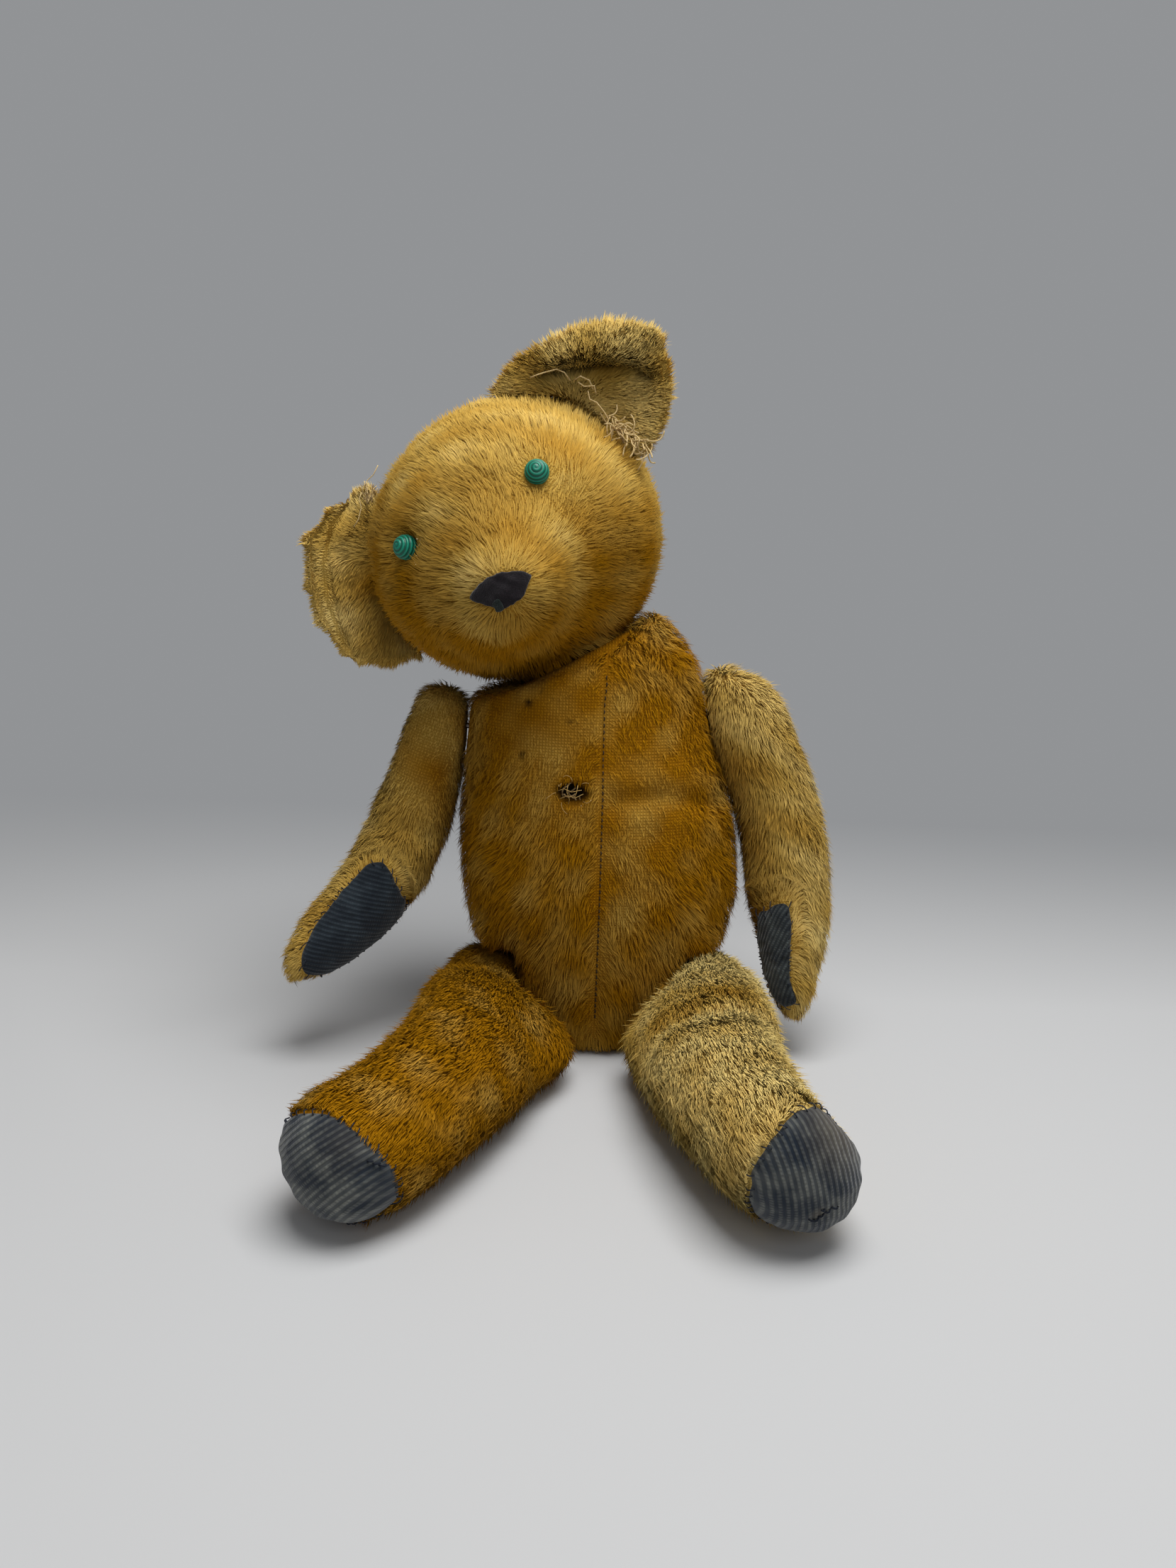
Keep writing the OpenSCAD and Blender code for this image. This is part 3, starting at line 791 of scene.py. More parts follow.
                length[i] = min(length[i], CROWDED_LENGTH + gap / MM)
        rise = np.radians(pile.rise + 18 * worn + 5 * rng.normal(size=count)
                          + 7 * ripple(pile.seed + 9, 12)(root))[:, None]
        fall = np.radians(pile.fall + 12 * worn + 5 * rng.normal(size=count)
                          + 4 * ripple(pile.seed + 4, 7)(root))[:, None]
        loose = (rng.random(count) < pile.loose)[:, None]
        rise, fall = rise - loose * math.radians(LOOSE_RISE), fall - loose * math.radians(LOOSE_FALL)
        half = (length * MM / 2)[:, None]
        middle = root + (out * np.cos(rise) + way * np.sin(rise)) * half
        tip = middle + (out * np.cos(fall) + way * np.sin(fall)) * half
        # Locks: tips gather towards the middle of their small cell
        warp = np.stack([ripple(pile.seed + k, 14)(root) for k in (5, 6, 7)], 1) * 1.6 * MM
        cell = np.floor((root + warp) / (pile.clump * MM)).astype(np.int64)
        key = cell @ np.array([73856093, 19349663, 83492791])
        _, which = np.unique(key, return_inverse=True)
        which = which.ravel()
        total = np.maximum(np.bincount(which), 1)
        lock_tip = np.stack([np.bincount(which, tip[:, k]) / total for k in range(3)], 1)
        lock_mid = np.stack([np.bincount(which, middle[:, k]) / total for k in range(3)], 1)
        lean = rng.normal(size=(len(total), 3)) * 0.4 * MM
        pull = (pile.gather * (1 - 0.7 * worn) * rng.uniform(0.4, 1.3, count))[:, None]
        tip = tip + (lock_tip[which] + lean[which] - tip) * pull
        middle = middle + (lock_mid[which] + lean[which] * 0.4 - middle) * pull * 0.35
        for ends in (middle, tip):
            ends[:, 2] = np.maximum(ends[:, 2], FIBRE_FLOOR * MM)
        self.coat = self.weave_fibres(root, middle, tip, out, worn, rng)

    def weave_fibres(self, root: np.ndarray, middle: np.ndarray, tip: np.ndarray, out: np.ndarray,
                     worn: np.ndarray, rng: np.random.Generator) -> bpy.types.Object:
        """Makes one mesh of flat tapering fibres.

        Args:
            root: Where each fibre leaves the cloth.
            middle: Its middle.
            tip: Its tip.
            out: The cloth's normal at its root.
            worn: How worn the pile is there.
            rng: The random draws.

        Returns:
            The coat, with a colour, a normal and a baking place for each fibre.
        """
        count = len(root)
        run = unit(tip - root)
        flat = unit(np.cross(run, out))
        roll = rng.uniform(-0.7, 0.7, count)[:, None]
        across = flat * np.cos(roll) + np.cross(run, flat) * np.sin(roll)
        wide = (self.pile.width * MM / 2 * rng.uniform(0.7, 1.25, count))[:, None]
        sunk = root - out * 0.3 * MM
        points = np.stack([sunk - across * wide, sunk + across * wide, middle - across * wide * 0.85,
                           middle + across * wide * 0.85, tip], 1).reshape(-1, 3)
        base = np.arange(count, dtype=np.int32)[:, None] * 5
        quads = base + np.array([0, 1, 3, 2], np.int32)
        tips = base + np.array([2, 3, 4], np.int32)
        loops = np.concatenate([quads, tips], 1).ravel()
        mesh = bpy.data.meshes.new(self.name.replace("cloth", "pile"))
        mesh.vertices.add(count * 5)
        mesh.vertices.foreach_set("co", points.astype(np.float32).ravel())
        mesh.loops.add(count * 7)
        mesh.loops.foreach_set("vertex_index", loops)
        mesh.polygons.add(count * 2)
        starts = (np.arange(count, dtype=np.int32)[:, None] * 7 + np.array([0, 4], np.int32)).ravel()
        mesh.polygons.foreach_set("loop_start", starts)
        mesh.update(calc_edges=True)
        tone = self.hue(root) * rng.uniform(0.86, 1.12, count)[:, None]
        # Paler tips: partly bleached ends of the fibres, partly a painted highlight standing for the glints along
        # them.
        bleach_and_glint = rng.uniform(0, 0.26, count)[:, None] * (1 - np.maximum(self.amber(root), 0)[:, None]) ** 1.5
        tip_tone = tone + (PALE * 1.1 - tone) * bleach_and_glint
        # Roots and middles a little darker than the tone: painted shade deep in the coat, less where the pile is
        # worn.
        low = tone * (0.97 + 0.03 * worn[:, None])
        hues = np.stack([low, low, tone * 0.98, tone * 0.98, tip_tone], 1).reshape(-1, 3)
        paint(mesh, "hue", np.clip(hues, 0, 1))
        side = math.ceil(math.sqrt(count))
        cell = np.stack([np.arange(count) % side, np.arange(count) // side], 1)[:, None, :]
        spots = np.array([[0.1, 0.08], [0.9, 0.08], [0.86, 0.55], [0.14, 0.55], [0.14, 0.55],
                          [0.86, 0.55], [0.5, 0.94]])[None]
        layer = mesh.uv_layers.new(name="OFBake", do_init=False)
        layer.uv.foreach_set("vector", ((cell + spots) / side).astype(np.float32).ravel())
        face_way = unit(np.cross(across, run))
        face_way *= np.sign((face_way * out).sum(1, keepdims=True))
        soft = unit(out * 0.84 + np.array((0, 0, self.pile.upward)) + face_way * 0.16
                    + rng.normal(size=(count, 3)) * 0.08)
        mesh.polygons.foreach_set("use_smooth", np.ones(count * 2, bool))
        # A flat fibre stands for a round one: whichever side shows takes the light of the coat
        ahead = np.clip((out @ SHOWN + 0.35) / 0.4, 0, 1)[:, None]
        seen = unit(out * (1 - ahead) + SHOWN * ahead)
        lower, upper = (np.sign((np.cross(across, step) * seen).sum(1))[:, None]
                        for step in (middle - root, tip - middle))
        corners = np.concatenate([np.repeat((soft * lower)[:, None], 4, 1),
                                  np.repeat((soft * upper)[:, None], 3, 1)], 1)
        mesh.normals_split_custom_set(corners.reshape(-1, 3).astype(np.float32))
        thing = bpy.data.objects.new(mesh.name, mesh)
        bpy.context.scene.collection.objects.link(thing)
        return thing

    def declare(self, pile_finish: bpy.types.Material) -> None:
        """Hides the CAD parts that the form replaces, gives the coat its finish and hangs both pieces on the form's
        body.
        """
        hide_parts(*self.nodes)
        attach(self.cloth, self.body)
        dress(self.coat, pile_finish)
        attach(self.coat, self.body)
        log.info("%s: %d faces of cloth, %d fibres", self.name, len(self.cloth.data.polygons),
                 len(self.coat.data.polygons) // 2)


@dataclass(frozen=True)
class Guard:
    """The part of a form that a patch covers, seen from a point inside the form."""

    centre: Point
    facing: Point
    up: Point
    half_up: float
    half_side: float
    outline: tuple[tuple[float, float], ...] = ()

    def frame(self) -> tuple[np.ndarray, np.ndarray, np.ndarray]:
        """Directions out of the patch, up it and across it."""
        out = unit(np.array(self.facing, float))
        up = np.array(self.up, float)
        up = unit(up - out * (up @ out))
        return out, up, np.cross(up, out)

    def covers(self, places: np.ndarray) -> np.ndarray:
        """Whether each place lies under the patch."""
        out, up, across = self.frame()
        away = unit(places / MM - np.array(self.centre))
        tilt = np.degrees(np.arccos(np.clip(away @ out, -1, 1)))
        turn = np.arctan2(away @ up, away @ across)
        return tilt < self.reach(turn)

    def beyond(self, places: np.ndarray) -> np.ndarray:
        """Distance from each place to the patch's edge, in millimetres, 0 under it."""
        out, up, across = self.frame()
        away = places / MM - np.array(self.centre)
        far = np.linalg.norm(away, axis=1)
        tilt = np.degrees(np.arccos(np.clip(away @ out / far, -1, 1)))
        turn = np.arctan2(away @ up, away @ across)
        return np.radians(np.maximum(tilt - self.reach(turn), 0)) * far

    def aside(self, places: np.ndarray) -> np.ndarray:
        """Unit direction away from the patch's middle at each place."""
        out, _, _ = self.frame()
        away = places / MM - np.array(self.centre)
        return unit(away - out * (away @ out)[:, None])

    def reach(self, turn: np.ndarray) -> np.ndarray:
        """Angle in degrees from the patch's middle to its edge, by direction round it."""
        oval = 1 / np.sqrt((np.sin(turn) / self.half_up) ** 2 + (np.cos(turn) / self.half_side) ** 2)
        if not self.outline:
            return oval
        degrees = np.degrees(turn) % 360
        angles = np.array([a for a, _ in self.outline])
        shares = np.array([s for _, s in self.outline])
        return oval * np.interp(degrees, angles, shares, period=360)


# ---------------------------------------------------------------- patches, stitches and threads
@dataclass
class Patch:
    """A piece of cloth sewn on a form: a denim patch or the felt nose."""

    name: str
    node: str
    guard: Guard
    thick: float
    lift: float
    grid: int = 30
    ragged: float = 0.0
    stains: tuple[Spot, ...] = ()
    thing: Optional[bpy.types.Object] = field(default=None, repr=False)

    def ray(self, along: float, turn: float) -> Vector:
        """Direction from the guard's centre to a point of the patch.

        Args:
            along: Share of the way from the middle to the edge.
            turn: Direction round the middle, in radians.

        Returns:
            A unit direction.
        """
        out, up, across = self.guard.frame()
        frayed = 1 + self.ragged * (math.sin(7 * turn) + 0.7 * math.sin(13 * turn + 1)
                                    + 0.5 * math.sin(23 * turn + 2))
        tilt = math.radians(float(self.guard.reach(np.array(turn))) * along * frayed)
        way = up * math.sin(turn) + across * math.cos(turn)
        return Vector(out * math.cos(tilt) + way * math.sin(tilt))

    def on_form(self, surface: BVHTree, along: float, turn: float, lift: float) -> tuple[Vector, Vector]:
        """A place on the patch and the form's normal there.

        Args:
            surface: The form's cloth.
            along: Share of the way from the middle to the edge.
            turn: Direction round the middle, in radians.
            lift: Height over the cloth, in millimetres.

        Returns:
            The place and the normal.
        """
        centre = Vector(self.guard.centre) * MM
        way = self.ray(along, turn)
        place, normal, _, _ = surface.ray_cast(centre + way * 0.12, -way, 0.12)
        if place is None:
            place, normal, _, _ = surface.find_nearest(centre)
        if normal.dot(way) < 0:
            normal = -normal
        return place + normal * lift * MM, normal

    def make(self, surface: BVHTree, material: bpy.types.Material) -> None:
        """Cuts the patch, lays it on the form and gives it its thickness.

        Args:
            surface: The form's cloth.
            material: The patch's finish.
        """
        deselect()
        bpy.ops.mesh.primitive_grid_add(x_subdivisions=self.grid, y_subdivisions=self.grid, size=2)
        thing = bpy.context.object
        thing.name = thing.data.name = self.name
        mesh = thing.data
        flat = points_of(mesh)
        x, y = flat[:, 0], flat[:, 1]
        u, v = x * np.sqrt(1 - y * y / 2), y * np.sqrt(1 - x * x / 2)
        along, turn = np.hypot(u, v), np.arctan2(v, u)
        places = np.empty((len(flat), 3))
        for i in range(len(flat)):
            hem = max(0.0, (along[i] - 0.90) / 0.10)
            lift = self.lift * (1 - 0.9 * hem * hem)
            places[i], _ = self.on_form(surface, float(along[i]), float(turn[i]), lift)
        move_points(mesh, places)
        uv = mesh.uv_layers.active or mesh.uv_layers.new()
        uv.name = "cloth"
        _, up, across = self.guard.frame()
        away = places - np.array(self.guard.centre) * MM
        coordinates = np.stack([away @ across, away @ up], 1)
        corners = np.empty(len(mesh.loops), np.int32)
        mesh.loops.foreach_get("vertex_index", corners)
        uv.uv.foreach_set("vector", coordinates[corners].astype(np.float32).ravel())
        choose(thing)
        bpy.ops.object.mode_set(mode="EDIT")
        bpy.ops.mesh.select_all(action="SELECT")
        bpy.ops.mesh.normals_make_consistent(inside=False)
        bpy.ops.object.mode_set(mode="OBJECT")
        centre = np.array(self.guard.centre) * MM
        mean = normals_of(mesh).mean(0)
        if mean @ (places.mean(0) - centre) < 0:
            choose(thing)
            bpy.ops.object.mode_set(mode="EDIT")
            bpy.ops.mesh.flip_normals()
            bpy.ops.object.mode_set(mode="OBJECT")
        normals = normals_of(mesh)
        bumps = 0.35 * ripple(len(self.name), 9)(places) + 0.2 * ripple(len(self.name) + 1, 4)(places)
        move_points(mesh, places + normals * (bumps * (along < SMOOTH_HEM) * MM)[:, None])
        apply(thing, "SOLIDIFY", thickness=self.thick * MM, offset=-1.0)
        apply(thing, "SUBSURF", levels=1, render_levels=1)
        places = points_of(mesh)
        places[:, 2] = np.maximum(places[:, 2], PATCH_FLOOR * MM)
        move_points(mesh, places)
        stain = np.zeros(len(places))
        for spot in self.stains:
            stain = np.maximum(stain, spot.share(places))
        paint(mesh, "stain", np.repeat(stain[:, None], 3, axis=1))
        choose(thing)
        bpy.ops.object.shade_smooth()
        dress(thing, material)
        self.thing = thing

    def declare(self, body: str, slot: str) -> None:
        """Hides the CAD part that the patch replaces and hangs the patch on its body."""
        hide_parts(self.node)
        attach(self.thing, body)
        log.info("%s: %d faces", self.name, len(self.thing.data.polygons))


@dataclass
class Threads:
    """Loose and sewn threads that share one finish: thin tubes along their own paths."""

    name: str
    body: str
    slot: str
    finish: ThreadFinish
    thickness: float = 0.5
    sides: int = 5
    paths: list[np.ndarray] = field(default_factory=list)

    def add(self, path: Sequence) -> None:
        """Adds a thread through points in millimetres."""
        self.paths.append(np.array(path, float))

    def stitch(self, start: Vector, end: Vector, out: Vector, height: float) -> None:
        """Adds one stitch that rises from the cloth and goes back in.

        Args:
            start: Where it comes out, in metres.
            end: Where it goes in, in metres.
            out: The way out of the cloth.
            height: How far it rises, in millimetres.
        """
        a, b, up = (np.array(v, float) for v in (start, end, out))
        steps = np.linspace(0, 1, 6)[:, None]
        arch = a + (b - a) * steps + up * (np.sin(math.pi * steps) * (height + 0.5) - 0.5) * MM
        self.paths.append(arch / MM)

    def wander(self, start: Point, way: Point, length: float, curl: float, seed: int,
               sag: float = 0.0) -> None:
        """Adds a frayed thread that curls as it goes.

        Args:
            start: Its first point, in millimetres.
            way: Its first direction.
            length: Its length, in millimetres.
            curl: How strongly it turns.
            seed: Which curl.
            sag: How strongly it turns down.
        """
        rng = np.random.default_rng(seed)
        steps = max(6, int(length / 1.4))
        place, heading = np.array(start, float), unit(np.array(way, float))
        axis = unit(rng.normal(size=3))
        path = [place]
        for _ in range(steps):
            axis = unit(axis + 0.5 * rng.normal(size=3))
            heading = unit(heading + curl * np.cross(axis, heading) + np.array((0, 0, -sag)))
            place = place + heading * length / steps
            path.append(place)
        self.paths.append(np.array(path))

    def make(self) -> bpy.types.Object:
        """Sweeps every path and joins the tubes in one piece.

        Returns:
            The finished object.
        """
        points, faces = [], []
        angles = np.linspace(0, 2 * math.pi, self.sides, endpoint=False)
        for path in self.paths:
            run = unit(np.gradient(path, axis=0))
            side = unit(np.cross(run, unit(run + np.array((0.37, 0.71, 0.13)))))
            up = np.cross(run, side)
            radius = self.thickness / 2
            base = sum(len(p) for p in points)
            rings = [path[i] + radius * (np.cos(angles)[:, None] * side[i] + np.sin(angles)[:, None] * up[i])
                     for i in range(len(path))]
            points.append(np.concatenate(rings))
            for i in range(len(path) - 1):
                for k in range(self.sides):
                    a, b = base + i * self.sides + k, base + i * self.sides + (k + 1) % self.sides
                    faces.append((a, b, b + self.sides, a + self.sides))
            last = base + (len(path) - 1) * self.sides
            faces.append(tuple(base + k for k in reversed(range(self.sides))))
            faces.append(tuple(last + k for k in range(self.sides)))
        places = np.concatenate(points) * MM
        places[:, 2] = np.maximum(places[:, 2], CLOTH_FLOOR * MM)
        thing = new_object(self.name, places, faces)
        choose(thing)
        bpy.ops.object.shade_smooth()
        dress(thing, self.finish.make())
        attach(thing, self.body)
        log.info("%s: %d threads", self.name, len(self.paths))
        return thing


def surface_of(thing: bpy.types.Object) -> BVHTree:
    """Search tree of an object's faces."""
    mesh = thing.data
    return BVHTree.FromPolygons([v.co for v in mesh.vertices], [p.vertices for p in mesh.polygons])


@dataclass
class Bead:
    """A glossy bead eye with a ridge that climbs to its crown in a spiral."""

    name: str
    node: str
    diameter: float
    crown: Point
    shift: Point = (0, 0, 0)
    turns: float = 9.0
    ridge: float = 0.03

    def make(self, material: bpy.types.Material) -> bpy.types.Object:
        """Shapes the bead from a globe.

        Args:
            material: The bead's finish.

        Returns:
            The finished object.
        """
        low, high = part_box(self.node)
        centre = (low + high) / 2 + Vector(self.shift) * MM
        log.info("%s at %s", self.name, [round(v / MM, 1) for v in centre])
        deselect()
        bpy.ops.mesh.primitive_uv_sphere_add(segments=72, ring_count=108, radius=1)
        thing = bpy.context.object
        thing.name = thing.data.name = self.name
        mesh = thing.data
        ball = points_of(mesh)
        tilt = np.arccos(np.clip(ball[:, 2], -1, 1))
        turn = np.arctan2(ball[:, 1], ball[:, 0])
        wave = np.cos(2 * math.pi * self.turns * tilt / math.pi - turn)
        rise = np.sign(wave) * np.abs(wave) ** 0.6 * np.clip(tilt / 0.35, 0, 1)
        radius = self.diameter / 2 * (1 + self.ridge * rise)
        away = Vector(self.crown).to_track_quat("Z", "Y").to_matrix()
        places = (ball * radius[:, None] * MM) @ np.array(away).T + np.array(centre)
        move_points(mesh, places)
        paint(mesh, "ridge", np.repeat(((rise + 1) / 2)[:, None], 3, axis=1))
        choose(thing)
        bpy.ops.object.shade_smooth()
        dress(thing, material)
        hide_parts(self.node)
        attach(thing, "head")
        log.info("%s: %.1f mm bead", self.name, self.diameter)
        return thing


# ---------------------------------------------------------------- the bear
NECK = (-15.0, 0.0, 211.6)
NECK_WAY = (-0.5, 0.0, 0.866)
RIGHT_SHOULDER = (-74.6, 1.0, 171.0)
LEFT_SHOULDER = (54.6, 2.0, 184.0)
RIGHT_WAY = (-0.9986, 0.0, 0.0523)
LEFT_WAY = (0.9816, 0.0, 0.1908)
HIP_Z = 26.2
RIGHT_HIP = (-42.0, -12.0, HIP_Z)
LEFT_HIP = (42.0, -12.0, HIP_Z)
NOSE_TIP = (-50.0, -97.0, 249.0)
FACE_WAY = (-0.150, -0.985, -0.087)
FLOOR = Seat((0, -80, 0), (0, 0, 1), 400, 0.6)
ACROSS = (1.0, 0.0, 0.0)
# Way that the bear's front faces, for which the fibres' shading is set
SHOWN = np.array((0.0, -0.92, 0.38))
# Stretch of a small hole that goes straight into the cloth
DEEP = (1, 4, 1)

LEFT_FOLD = ((-36, -14, 355), (-24, -15, 358), (-10, -17, 359), (4, -20, 356.5), (15, -23, 352))
RIGHT_SEAM = ((-141, -3, 285), (-149, 0, 275), (-154, 2, 255), (-152, 3, 236), (-146, 3, 219), (-140, 2, 208))
BELLY_SEAM = ((0, -40, 209), (-1, -45, 189), (-0.5, -51.5, 150), (0, -57, 100), (0, -56, 61), (0, -48, 18))


def body_form() -> SoftForm:
    """The torso: worn to the ground cloth on the chest, full at the sides and below."""
    return SoftForm(
        name="body_cloth", body="body", nodes=("body_skin", "body_stuffing"),
        backing=BackingFinish("body_backing"), tone=0.88,
        pile=Pile(62000, 8.0, (Nap(Flow.ALONG, (0.12, -0.1, -1.0)),
                               Nap(Flow.ALONG, (-1, 0, -0.4), (-60, -30, 90), 50, 0.9),
                               Nap(Flow.ALONG, (1, 0, -0.4), (60, -30, 90), 50, 0.7)),
                  clump=4.2, gather=0.2, stray=0.5, seed=11),
        # The deep amber on both sides of the torso behind the arms is painted shade, and the amber on the upper
        # chest is the head's shadow, painted on.
        tones=(Spot((-70, -10, 110), 45, 0.9, (1, 1, 1.6)), Spot((62, -10, 120), 40, 0.85, (1, 1, 1.6)),
               Spot((10, -50, 190), 34, 0.6), Spot((-10, -50, 70), 36, -0.2, (1.4, 1, 1))),
        worn=(Spot((-28, -42, 186), 34, 0.95, (1.25, 1.5, 0.85)),
              Spot((24, -46, 150), 30, 0.85, (1.0, 1.5, 1.5)),
              Spot((-18, -50, 152), 24, 0.7, (1, 1.5, 1)),
              Spot((14, -52, 108), 20, 0.5, (1, 1.5, 1.6))),
        bare=(Spot((-16, -50, 146), 7.4, 1.0, (1.15, 4, 0.72), 0.22), Spot((-40, -40, 190), 1.9, 1.0, DEEP),
              Spot((-18.6, -46, 182), 1.2, 1.0, DEEP), Spot((-42.4, -43, 163), 1.7, 1.0, DEEP),
              Spot((-27.4, -53, 113), 1.1, 0.9, DEEP), Spot((-33, -40, 196), 1.0, 0.9, DEEP)),
        creases=(Crease(BELLY_SEAM, 0.9, 1.6, parting=0.7),
                 Crease(((7, -52, 143), (30, -47, 145), (56, -29, 140)), 2.2, 5)),
        pulls=(Pull((-36, -50, -2), 18, (17, 2, 0)), Pull((36, -50, -2), 18, (-15, 2, 0)),
               Pull((68, -6, 120), 44, (5, 0, 0)), Pull((-68, -6, 125), 44, (-2.5, 0, 0)),
               Pull((-60, -34, 54), 15, (-1, -2, -10)), Pull((56, -36, 52), 16, (5, -2, -11))),
        inset=1.6,
        seats=(Seat(NECK, NECK_WAY, 34, 4), Seat(RIGHT_SHOULDER, RIGHT_WAY, 15),
               Seat(LEFT_SHOULDER, LEFT_WAY, 15), Seat(RIGHT_HIP, ACROSS, 20),
               Seat(LEFT_HIP, ACROSS, 20), Seat((0, -6, 0), (0, 0, 1), 90, 2)))


def head_form() -> SoftForm:
    """The head: the pile runs back from the nose and is bleached on the crown."""
    return SoftForm(
        name="head_cloth", body="head", nodes=("head_skin", "head_stuffing"),
        backing=BackingFinish("head_backing", (0, -30, 0)), tone=0.56,
        pile=Pile(70000, 8.6, (Nap(Flow.AWAY, NOSE_TIP), Nap(Flow.ALONG, (-1, 0, 0.25), (-62, -62, 312), 42, 1.2)),
                  clump=4.6, gather=0.22, rise=46, fall=78, stray=0.5, seed=12),
        # The deep amber under the jaw and on the right cheek beside the ear, and the amber spot between the nose and
        # the left eye, are painted shade; the pale front of the muzzle is partly its cream pile, partly painted
        # light.
        tones=(Spot((-60, -45, 328), 46, -0.95), Spot((18, -40, 250), 46, 0.8), Spot((-40, -40, 206), 48, 1.0),
               Spot((-108, -32, 232), 44, 1.0), Spot((-52, -92, 250), 34, -1.0), Spot((-45, -80, 284), 16, 0.3)),
        worn=(Spot((-22, -64, 286), 22, 0.6), Spot((6, -47, 274), 15, 0.6), Spot((-52, -78, 288), 24, 0.45)),
        clear=((LEFT_EYE, 7.2), (RIGHT_EYE, 6.4)), pulls=(Pull((-97, -62, 266), 11, (1.5, 3.5, 0)),),
        seats=(Seat(NECK, NECK_WAY, 26, 4),))


def ear_form(name: str, node: str, seed: int, tones: tuple[Spot, ...], naps: tuple[Nap, ...],
             creases: tuple[Crease, ...] = (), pulls: tuple[Pull, ...] = (),
             worn: tuple[Spot, ...] = ()) -> SoftForm:
    """An ear of doubled cloth.

    Args:
        name: The new piece.
        node: The CAD ear.
        seed: Its random draws.
        tones: Its paler and deeper places, some of them painted light and shade.
        naps: How it is brushed.
        creases: Its folds.
        pulls: Where its cloth is drawn aside.
        worn: Its thin places.

    Returns:
        The ear.
    """
    return SoftForm(name=name, body="head", nodes=(node,), backing=BackingFinish(name + "_backing"), tone=0.36,
                    pile=Pile(30000, 6.8, naps, clump=2.8, gather=0.14, stray=0.36, rise=52, fall=82, loose=0.3,
                              upward=0.7, seed=seed),
                    tones=tones, worn=worn, creases=creases, pulls=pulls, inset=4.0, voxel=2.4, fill=0.3,
                    cap=0.0, relax=9, hollow=False, fatten=4.5)


def limb_forms() -> tuple[SoftForm, ...]:
    """The two arms and the two legs."""
    right_arm = SoftForm(
        name="right_arm_cloth", body="right_arm", nodes=("right_arm_skin", "right_arm_stuffing"),
        backing=BackingFinish("right_arm_backing", (0, -16, 0)), tone=0.5,
        pile=Pile(30000, 8.0, (Nap(Flow.ALONG, (-0.35, -0.3, -1)),
                               Nap(Flow.ALONG, (-1, 0, -0.2), (-150, -20, 88), 26, 2.0)), seed=13),
        tones=(Spot((-78, -10, 130), 30, 0.5), Spot((-125, -25, 100), 25, -0.2)),
        worn=(Spot((-95, -22, 160), 24, 1.0, (1, 1.6, 1.25)), Spot((-92, -24, 128), 14, 0.6)),
        bare=(Spot((-106, -20, 164), 1.4, 1.0, DEEP), Spot((-96, -24, 122), 1.1, 0.8, DEEP)),
        creases=(Crease(((-121, -25, 120), (-108, -33, 123), (-92, -30, 116)), 1.8, 4),), inset=2.0,
        seats=(Seat(RIGHT_SHOULDER, RIGHT_WAY, 14),))
    left_arm = SoftForm(
        name="left_arm_cloth", body="left_arm", nodes=("left_arm_skin", "left_arm_stuffing"),
        backing=BackingFinish("left_arm_backing", (0, 10, 0)), tone=0.36,
        pile=Pile(32000, 8.6, (Nap(Flow.ALONG, (0.22, -0.1, -1)),), seed=14),
        tones=(Spot((78, -20, 120), 26, 0.4, (1, 1, 2)),), inset=2.0,
        pulls=(Pull((112, -24, 36), 30, (-5.5, 0, 1.5)), Pull((88, -16, 84), 24, (-3, 0, 0))),
        seats=(Seat(LEFT_SHOULDER, LEFT_WAY, 14),))
    right_leg = SoftForm(
        name="right_leg_cloth", body="right_leg", nodes=("right_leg_skin", "right_leg_stuffing"),
        backing=BackingFinish("right_leg_backing"), tone=0.97,
        pile=Pile(56000, 8.6, (Nap(Flow.ALONG, (-0.5, -1, -0.1)),
                               Nap(Flow.ALONG, (1, -0.6, -0.6), (-26, -80, 25), 30, 1.5)),
                  rise=64, fall=88, stray=0.26, clump=4.2, gather=0.14, upward=0.2, seed=15),
        tones=(Spot((-30, -100, 30), 22, -0.15),),
        pulls=(Pull((-24, -72, 16), 22, (14, 0, 0), (1, 1.4, 1)), Pull((-66, -36, 56), 20, (0, -1, -9)),), inset=1.5,
        seats=(Seat(RIGHT_HIP, ACROSS, 20), FLOOR))
    left_leg = SoftForm(
        name="left_leg_cloth", body="left_leg", nodes=("left_leg_skin", "left_leg_stuffing"),
        backing=BackingFinish("left_leg_backing"), tone=0.2,
        pile=Pile(56000, 9.6, (Nap(Flow.ALONG, (0.2, -1, -0.2)),
                               Nap(Flow.ALONG, (-1, -0.8, -0.5), (24, -90, 25), 26, 1.2)),
                  rise=60, fall=87, stray=0.32, clump=4.4, gather=0.18, upward=0.7, seed=16),
        tones=(Spot((48, -100, 62), 20, 0.6, (1.6, 0.8, 1)), Spot((28, -90, 20), 26, 0.3)),
        pulls=(Pull((22, -72, 16), 22, (-6, 0, 0), (1, 1.4, 1)), Pull((102, -186, 62), 20, (-9, 0, -7)),
               Pull((98, -140, 56), 24, (-4, 0, -4))), inset=1.8,
        bare=(Spot((62, -199, 62), 1.5, 0.6, DEEP),),
        creases=(Crease(((30, -118, 60), (52, -128, 66), (74, -120, 60)), 2.4, 7, 0.25, (1, 1, 0.3)),),
        seats=(Seat(LEFT_HIP, ACROSS, 20), FLOOR))
    return right_arm, left_arm, right_leg, left_leg


